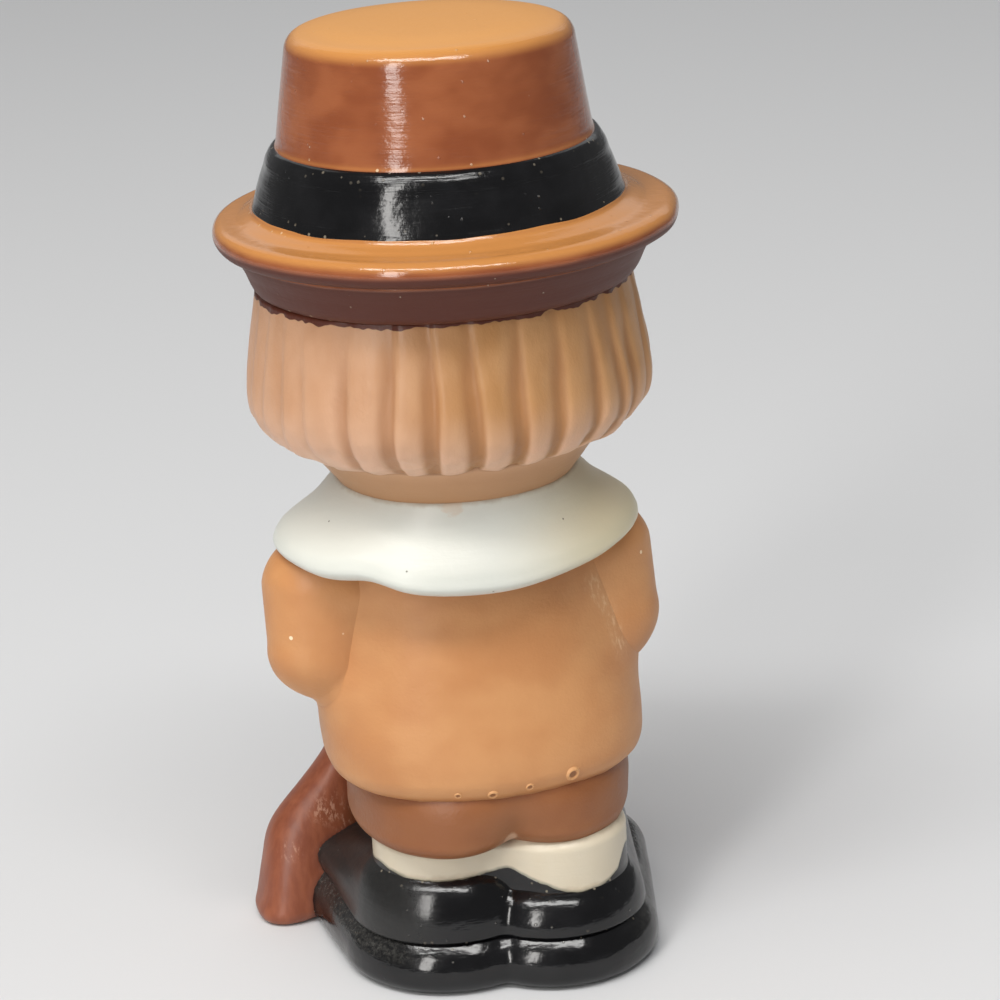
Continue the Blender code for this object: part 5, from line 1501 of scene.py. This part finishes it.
def make_cuff(side, finish):
    """A plump turned-back cuff."""
    wrist, towards = fore_arm(side)
    profile = curve(
        [
            (1.0, 0.2),
            (0.8 * CUFF_RADIUS, 0.1),
            (0.96 * CUFF_RADIUS, 0.15 * CUFF_LENGTH),
            (CUFF_RADIUS, 0.5 * CUFF_LENGTH),
            (0.96 * CUFF_RADIUS, 0.85 * CUFF_LENGTH),
            (0.8 * CUFF_RADIUS, CUFF_LENGTH - 0.1),
            (1.0, CUFF_LENGTH - 0.2),
        ],
        40,
    )
    rings = placed(uneven(turned(profile, 110), 4.0, 0.15), limb_frame(wrist, towards))
    name = SIDE_NAMES[side]
    return skin("painted_cuff_" + name, rings, finish, ["cuff_" + name])


FINGER_RADIUS, FINGER_PITCH = 1.35, 2.1


def make_hand(side, finish):
    """A closed fist: a palm, four fingers round the musket and a thumb laid along it."""
    _, _, grip = arm_places(side)
    wrist, towards = fore_arm(side)
    along = np.array(musket_frame().col[2].to_3d())
    forward = towards - along * (towards @ along)
    forward /= np.linalg.norm(forward)
    over = np.cross(along, forward) * side
    parts = [limb(wrist + towards * CUFF_LENGTH, grip - towards * 3.4, 3.0, 4.0)]
    for place in (-1.5, -0.5, 0.5, 1.5):
        root = grip + along * place * FINGER_PITCH
        wrap = BARREL_RADIUS + 0.9 * FINGER_RADIUS
        knuckles = []
        for bend in np.radians([150, 95, 40, -15, -70]):
            knuckles.append(root + wrap * (forward * math.cos(bend) + over * math.sin(bend)))
        for first, second in zip(knuckles, knuckles[1:]):
            parts.append(limb(first, second, FINGER_RADIUS, FINGER_RADIUS, 20))
    base = grip - forward * 3.0 - over * 2.2
    tip = grip + forward * 1.8 - over * 3.4 + along * 2.8
    parts.append(limb(base, tip, 1.9, 1.4, 24))
    name = SIDE_NAMES[side]
    return moulded("painted_hand_" + name, parts, 0.24, 6, finish, ["hand_" + name])


# Brass

def squared(share, power):
    """Spreads points on a circle out into the corners of a rounded square."""
    return math.copysign(abs(share) ** power, share)


def make_buckle(name, node, place, width, height, bar, thickness, finish):
    """A square buckle frame with rounded corners and bars."""
    steps, corners = 160, 0.4
    rings = []
    for angle in np.linspace(0.0, math.tau, steps, endpoint=False):
        outward = np.array([squared(math.cos(angle), corners), squared(math.sin(angle), corners)])
        outer = outward * (width / 2, height / 2)
        inner = outward * (width / 2 - bar, height / 2 - bar)
        ring = []
        for turn in np.linspace(0.0, math.tau, 20, endpoint=False):
            share = 0.5 - 0.5 * squared(math.cos(turn), 0.6)
            rise = squared(math.sin(turn), 0.6) * thickness
            flat = outer + (inner - outer) * share
            ring.append((flat[0], flat[1], rise))
        rings.append(ring)
    rings = np.array(rings)
    points = placed(rings, place).reshape(-1, 3)
    index = np.arange(steps * 20).reshape(steps, 20)
    upper, following = np.roll(index, -1, axis=0), np.roll(index, -1, axis=1)
    corner = np.roll(following, -1, axis=0)
    faces = np.stack((index, following, corner, upper), axis=-1).reshape(-1, 4).tolist()
    return piece(name, points, faces, finish, [node])


def shoe_front(side, share):
    """The point of one shoe furthest along the foot, at a share of its height."""
    _, toe, _, toe_radius = shoe_at(side, share)
    forward = toe_of(side) - ankle_of(side)
    flat = toe + forward / np.linalg.norm(forward) * toe_radius
    return Vector((flat[0], flat[1], SHOE_FOOT + (SHOE_TOP - SHOE_FOOT) * share))


BUCKLE_AT = 0.72
BUCKLE_WIDTH, BUCKLE_DEPTH, BUCKLE_BAR, BUCKLE_THICKNESS = 6.2, 5.2, 1.2, 1.2
HAT_BUCKLE_WIDTH, HAT_BUCKLE_MARGIN, HAT_BUCKLE_BAR, HAT_BUCKLE_THICKNESS = 9.0, 0.5, 1.7, 1.4


def make_shoe_buckle(side, finish):
    back = shoe_front(side, BUCKLE_AT + 0.1) - shoe_front(side, BUCKLE_AT - 0.1)
    heading = math.atan2(back.y, back.x) - math.pi / 2
    slope = math.atan2(back.z, math.hypot(back.x, back.y))
    tilt = Matrix.Rotation(heading, 4, "Z") @ Matrix.Rotation(slope, 4, "X")
    place = Matrix.Translation(shoe_front(side, BUCKLE_AT)) @ tilt
    name = "shoe_buckle_" + SIDE_NAMES[side]
    return make_buckle(
        "painted_" + name, name, place, BUCKLE_WIDTH, BUCKLE_DEPTH, BUCKLE_BAR, BUCKLE_THICKNESS, finish
    )


def make_hat_buckle(finish):
    middle = (BAND_FOOT + BAND_TOP) / 2
    lean = math.atan2(CROWN_BASE_RADIUS - CROWN_TOP_RADIUS, CROWN_TOP - CROWN_FOOT)
    seat = Vector((0.0, -(crown_radius(middle) + BAND_THICKNESS), middle))
    place = Matrix.Translation(seat) @ Matrix.Rotation(math.pi / 2 - lean, 4, "X")
    height = BAND_TOP - BAND_FOOT - 2 * HAT_BUCKLE_MARGIN
    sizes = (HAT_BUCKLE_WIDTH, height, HAT_BUCKLE_BAR, HAT_BUCKLE_THICKNESS)
    return make_buckle("painted_hat_buckle", "hat_buckle", place, *sizes, finish)


def make_button(number, finish):
    """A domed coat button with a rounded rim."""
    name = f"coat_button_{number}"
    low, high = extent(name)
    centre = Vector((low + high) / 2)
    radius = (high[0] - low[0]) / 2
    domed = [(0.1, 0.9), (0.5 * radius, 0.8), (0.72 * radius, 0.62), (0.9 * radius, 0.6)]
    profile = curve(domed + [(radius, 0.2), (0.9 * radius, -0.6), (0.2, -0.9)], 30)
    place = Matrix.Translation(centre) @ Matrix.Rotation(math.pi / 2, 4, "X")
    return skin("painted_" + name, placed(turned(profile, 64), place), finish, [name])


# Camera

def from_camera(across, away, height):
    """A direction or place given as the camera sees it, in the figure's own frame."""
    cos, sin = math.cos(CAMERA_YAW), math.sin(CAMERA_YAW)
    return Vector((-(across * cos + away * sin), across * sin - away * cos, height))


def camera_axes():
    """Picture right, picture up and forward."""
    right = from_camera(1.0, 0.0, 0.0)
    forward = from_camera(0.0, math.cos(CAMERA_PITCH), -math.sin(CAMERA_PITCH))
    up = from_camera(0.0, math.sin(CAMERA_PITCH), math.cos(CAMERA_PITCH))
    cos, sin = math.cos(CAMERA_ROLL), math.sin(CAMERA_ROLL)
    return right * cos - up * sin, right * sin + up * cos, forward


CAMERA_PLACE = from_camera(CAMERA_ASIDE, -CAMERA_DISTANCE, CAMERA_HEIGHT)


def make_camera():
    right, up, forward = camera_axes()
    camera = bpy.data.cameras.new("camera")
    camera.lens = LENS
    camera.sensor_width = SENSOR
    camera.clip_start, camera.clip_end = 0.01, 20.0
    stand = bpy.data.objects.new("camera", camera)
    turn = Matrix((right, up, -forward)).transposed().to_4x4()
    stand.matrix_world = Matrix.Translation(CAMERA_PLACE * MM + Vector(AXIS)) @ turn
    bpy.context.scene.collection.objects.link(stand)
    bpy.context.scene.camera = stand


FOCAL = LENS / SENSOR * PICTURE_SIZE


def picture_of(points):
    """Where points show in the picture, as pixels."""
    right, up, forward = (np.array(axis) for axis in camera_axes())
    offset = points - np.array(CAMERA_PLACE)
    scale = FOCAL / (offset @ forward)
    middle = PICTURE_SIZE / 2
    return np.column_stack((middle + scale * (offset @ right), middle - scale * (offset @ up)))


def seen_at(pixel, trees):
    """The nearest point of some pieces that shows at a pixel, and its normal there."""
    right, up, forward = camera_axes()
    across = (pixel[0] - PICTURE_SIZE / 2) / FOCAL
    rise = (PICTURE_SIZE / 2 - pixel[1]) / FOCAL
    ray = (forward + right * across + up * rise).normalized()
    hits = [tree.ray_cast(CAMERA_PLACE, ray) for tree in trees]
    point, normal, _, _ = min((hit for hit in hits if hit[0]), key=lambda hit: hit[3])
    return point, normal


# Blisters in the glaze along the hem, as (pixel, radius)

BLISTERS = (((458, 796), 0.42), ((493, 795), 0.6), ((530, 787), 0.5), ((573, 774), 0.85))


def make_blister(number, pixel, radius, tree, finish):
    """A popped bubble in the glaze: a small raised ring with a darker pit in it."""
    point, normal = seen_at(pixel, [tree])
    pit, rim = 0.02, 0.22 * radius
    profile = curve(
        [(0.02, pit), (0.5 * radius, pit), (0.72 * radius, rim), (0.9 * radius, rim), (1.2 * radius, -0.12)],
        24,
    )
    sides = 48
    rings = placed(turned(profile, sides), limb_frame(point, normal))
    made = skin(f"glaze_blister_{number}", rings, finish, [])
    hollow = 1 - smooth_step(profile[:, 0], 0.45 * radius, 0.65 * radius)
    keep_reading(made, "pit", np.concatenate((np.repeat(hollow, sides), [1.0, 0.0])))
    return made


# Stage

def make_floor():
    """A plain pale floor that fills the picture."""
    mesh = bpy.data.meshes.new("floor")
    half = 6.0
    corners = [(-half, -half, 0), (half, -half, 0), (half, half, 0), (-half, half, 0)]
    mesh.from_pydata(corners, [], [(0, 1, 2, 3)])
    floor = bpy.data.objects.new("floor", mesh)
    bpy.context.scene.collection.objects.link(floor)
    material = bpy.data.materials.new("floor")
    material.use_nodes = True
    shader = material.node_tree.nodes["Principled BSDF"]
    shader.inputs["Base Color"].default_value = seen(216, 217, 219)
    shader.inputs["Roughness"].default_value = 0.75
    mesh.materials.append(material)


def make_lamp(name, azimuth, elevation, distance, size, power, colour, mirrored):
    """A soft lamp, placed by its angles from the camera's side and aimed at the figure."""
    lamp = bpy.data.lights.new(name, "AREA")
    lamp.shape = "RECTANGLE"
    lamp.size, lamp.size_y = size
    lamp.energy = power
    lamp.color = colour
    stand = bpy.data.objects.new(name, lamp)
    a, e = math.radians(azimuth), math.radians(elevation)
    away = from_camera(math.sin(a) * math.cos(e), -math.cos(a) * math.cos(e), math.sin(e))
    stand.location = Vector(AXIS) + Vector((0.0, 0.0, 0.06)) + away * distance
    stand.rotation_mode = "QUATERNION"
    stand.rotation_quaternion = away.to_track_quat("Z", "Y")
    stand.visible_glossy = mirrored
    bpy.context.scene.collection.objects.link(stand)


def make_light():
    make_lamp("window", -28.0, 24.0, 1.2, (0.2, 0.8), 5.6, (1.0, 0.98, 0.95), True)
    make_lamp("strip", -10.0, 62.0, 1.1, (1.1, 0.18), 8.0, (1.0, 0.99, 0.97), True)
    make_lamp("ceiling", -55.0, 62.0, 1.3, (0.9, 0.9), 5.0, (1.0, 0.97, 0.92), False)
    make_lamp("fill", 60.0, 45.0, 1.6, (0.9, 0.9), 2.0, (0.95, 0.97, 1.0), False)
    make_lamp("front", 180.0, 40.0, 2.0, (2.4, 1.6), 6.0, (1.0, 1.0, 1.0), True)
    world = bpy.data.worlds.new("studio")
    world.use_nodes = True
    world.node_tree.nodes["Background"].inputs["Color"].default_value = (1.0, 1.0, 1.0, 1.0)
    world.node_tree.nodes["Background"].inputs["Strength"].default_value = 0.18
    bpy.context.scene.world = world


# Marks of wear, as (pixel, reach): chalk along the crease of the right arm, chips, and smears on the butt

WORN_CREASE = (
    (588, 582), (593, 592), (598, 602), (603, 612), (607, 622), (611, 632), (615, 642), (618, 652),
)
WORN = tuple((pixel, 2.2) for pixel in WORN_CREASE)
CHIPPED = (((291, 638), 0.3), ((641, 552), 0.28))
SMEARED = (((331, 806), 3.0), ((322, 812), 2.4), ((345, 820), 2.6), ((290, 850), 2.2))
NOTCH, NAPE = (510, 838), (452, 505)


def marks(pixels, trees):
    return [(seen_at(pixel, trees)[0], reach) for pixel, reach in pixels]


def build():
    hat, brass, iron, flesh = hat_paint(), brass_paint(), iron_paint(), flesh_paint()
    crown, band, brim = make_crown(hat), make_band(band_paint()), make_brim(hat)
    head, hair, collar = make_head(face_paint()), make_hair(hair_paint()), make_collar(None)
    ivory = collar_paint(seen_at(NAPE, [tree_of(collar)])[0])
    collar.data.materials.append(ivory)
    coat, sleeves = make_coat(None), {side: make_sleeve(side, None) for side in (LEFT, RIGHT)}
    cloth = [tree_of(made) for made in (coat, *sleeves.values())]
    tan = coat_paint(marks(WORN, cloth), marks(CHIPPED, cloth))
    for made in (coat, *sleeves.values()):
        made.data.materials.append(tan)
    breeches = make_breeches(None)
    breeches.data.materials.append(breeches_paint(seen_at(NOTCH, [tree_of(breeches)])[0]))
    sole, stock, barrel, lock = make_sole(sole_paint()), make_stock(None), make_barrel(iron), make_lock(iron)
    stock.data.materials.append(stock_paint(marks(SMEARED, [tree_of(stock)])))
    legs = leg_paint()
    stockings, shoes = make_stockings(legs), make_shoes(legs)
    for made in (stockings, shoes):
        keep_paint_line(made)
    buckle = make_hat_buckle(brass)
    widths = {
        (crown, band): 0.8,
        (band, brim): 1.0,
        (brim, hair): 0.5,
        (band, buckle): 0.4,
        (head, hair): 0.8,
        (head, collar): 0.8,
        (collar, coat): 0.4,
        (coat, breeches): 0.5,
        (breeches, stockings): 0.5,
        (shoes, stockings): 0.5,
        (shoes, sole): 1.2,
        (shoes, stock): 0.8,
        (sole, stock): 0.8,
        (stock, barrel): 0.5,
        (stock, lock): 0.4,
    }
    for side in (LEFT, RIGHT):
        cuff, hand = make_cuff(side, ivory), make_hand(side, flesh)
        widths[(coat, sleeves[side])] = 6.0
        widths[(collar, sleeves[side])] = 0.4
        widths[(sleeves[side], cuff)] = 0.6
        widths[(cuff, hand)] = 0.6
        widths[(barrel, hand)] = 0.5
        widths[(shoes, make_shoe_buckle(side, brass))] = 0.4
    for number in (1, 2, 3):
        widths[(coat, make_button(number, brass))] = 0.4
    fillet_creases(widths)
    popped, coat_tree = blister_paint(), tree_of(coat)
    for number, (pixel, radius) in enumerate(BLISTERS, start=1):
        make_blister(number, pixel, radius, coat_tree, popped)


bpy.context.scene.view_settings.view_transform = "Standard"
make_camera()
make_floor()
make_light()
build()
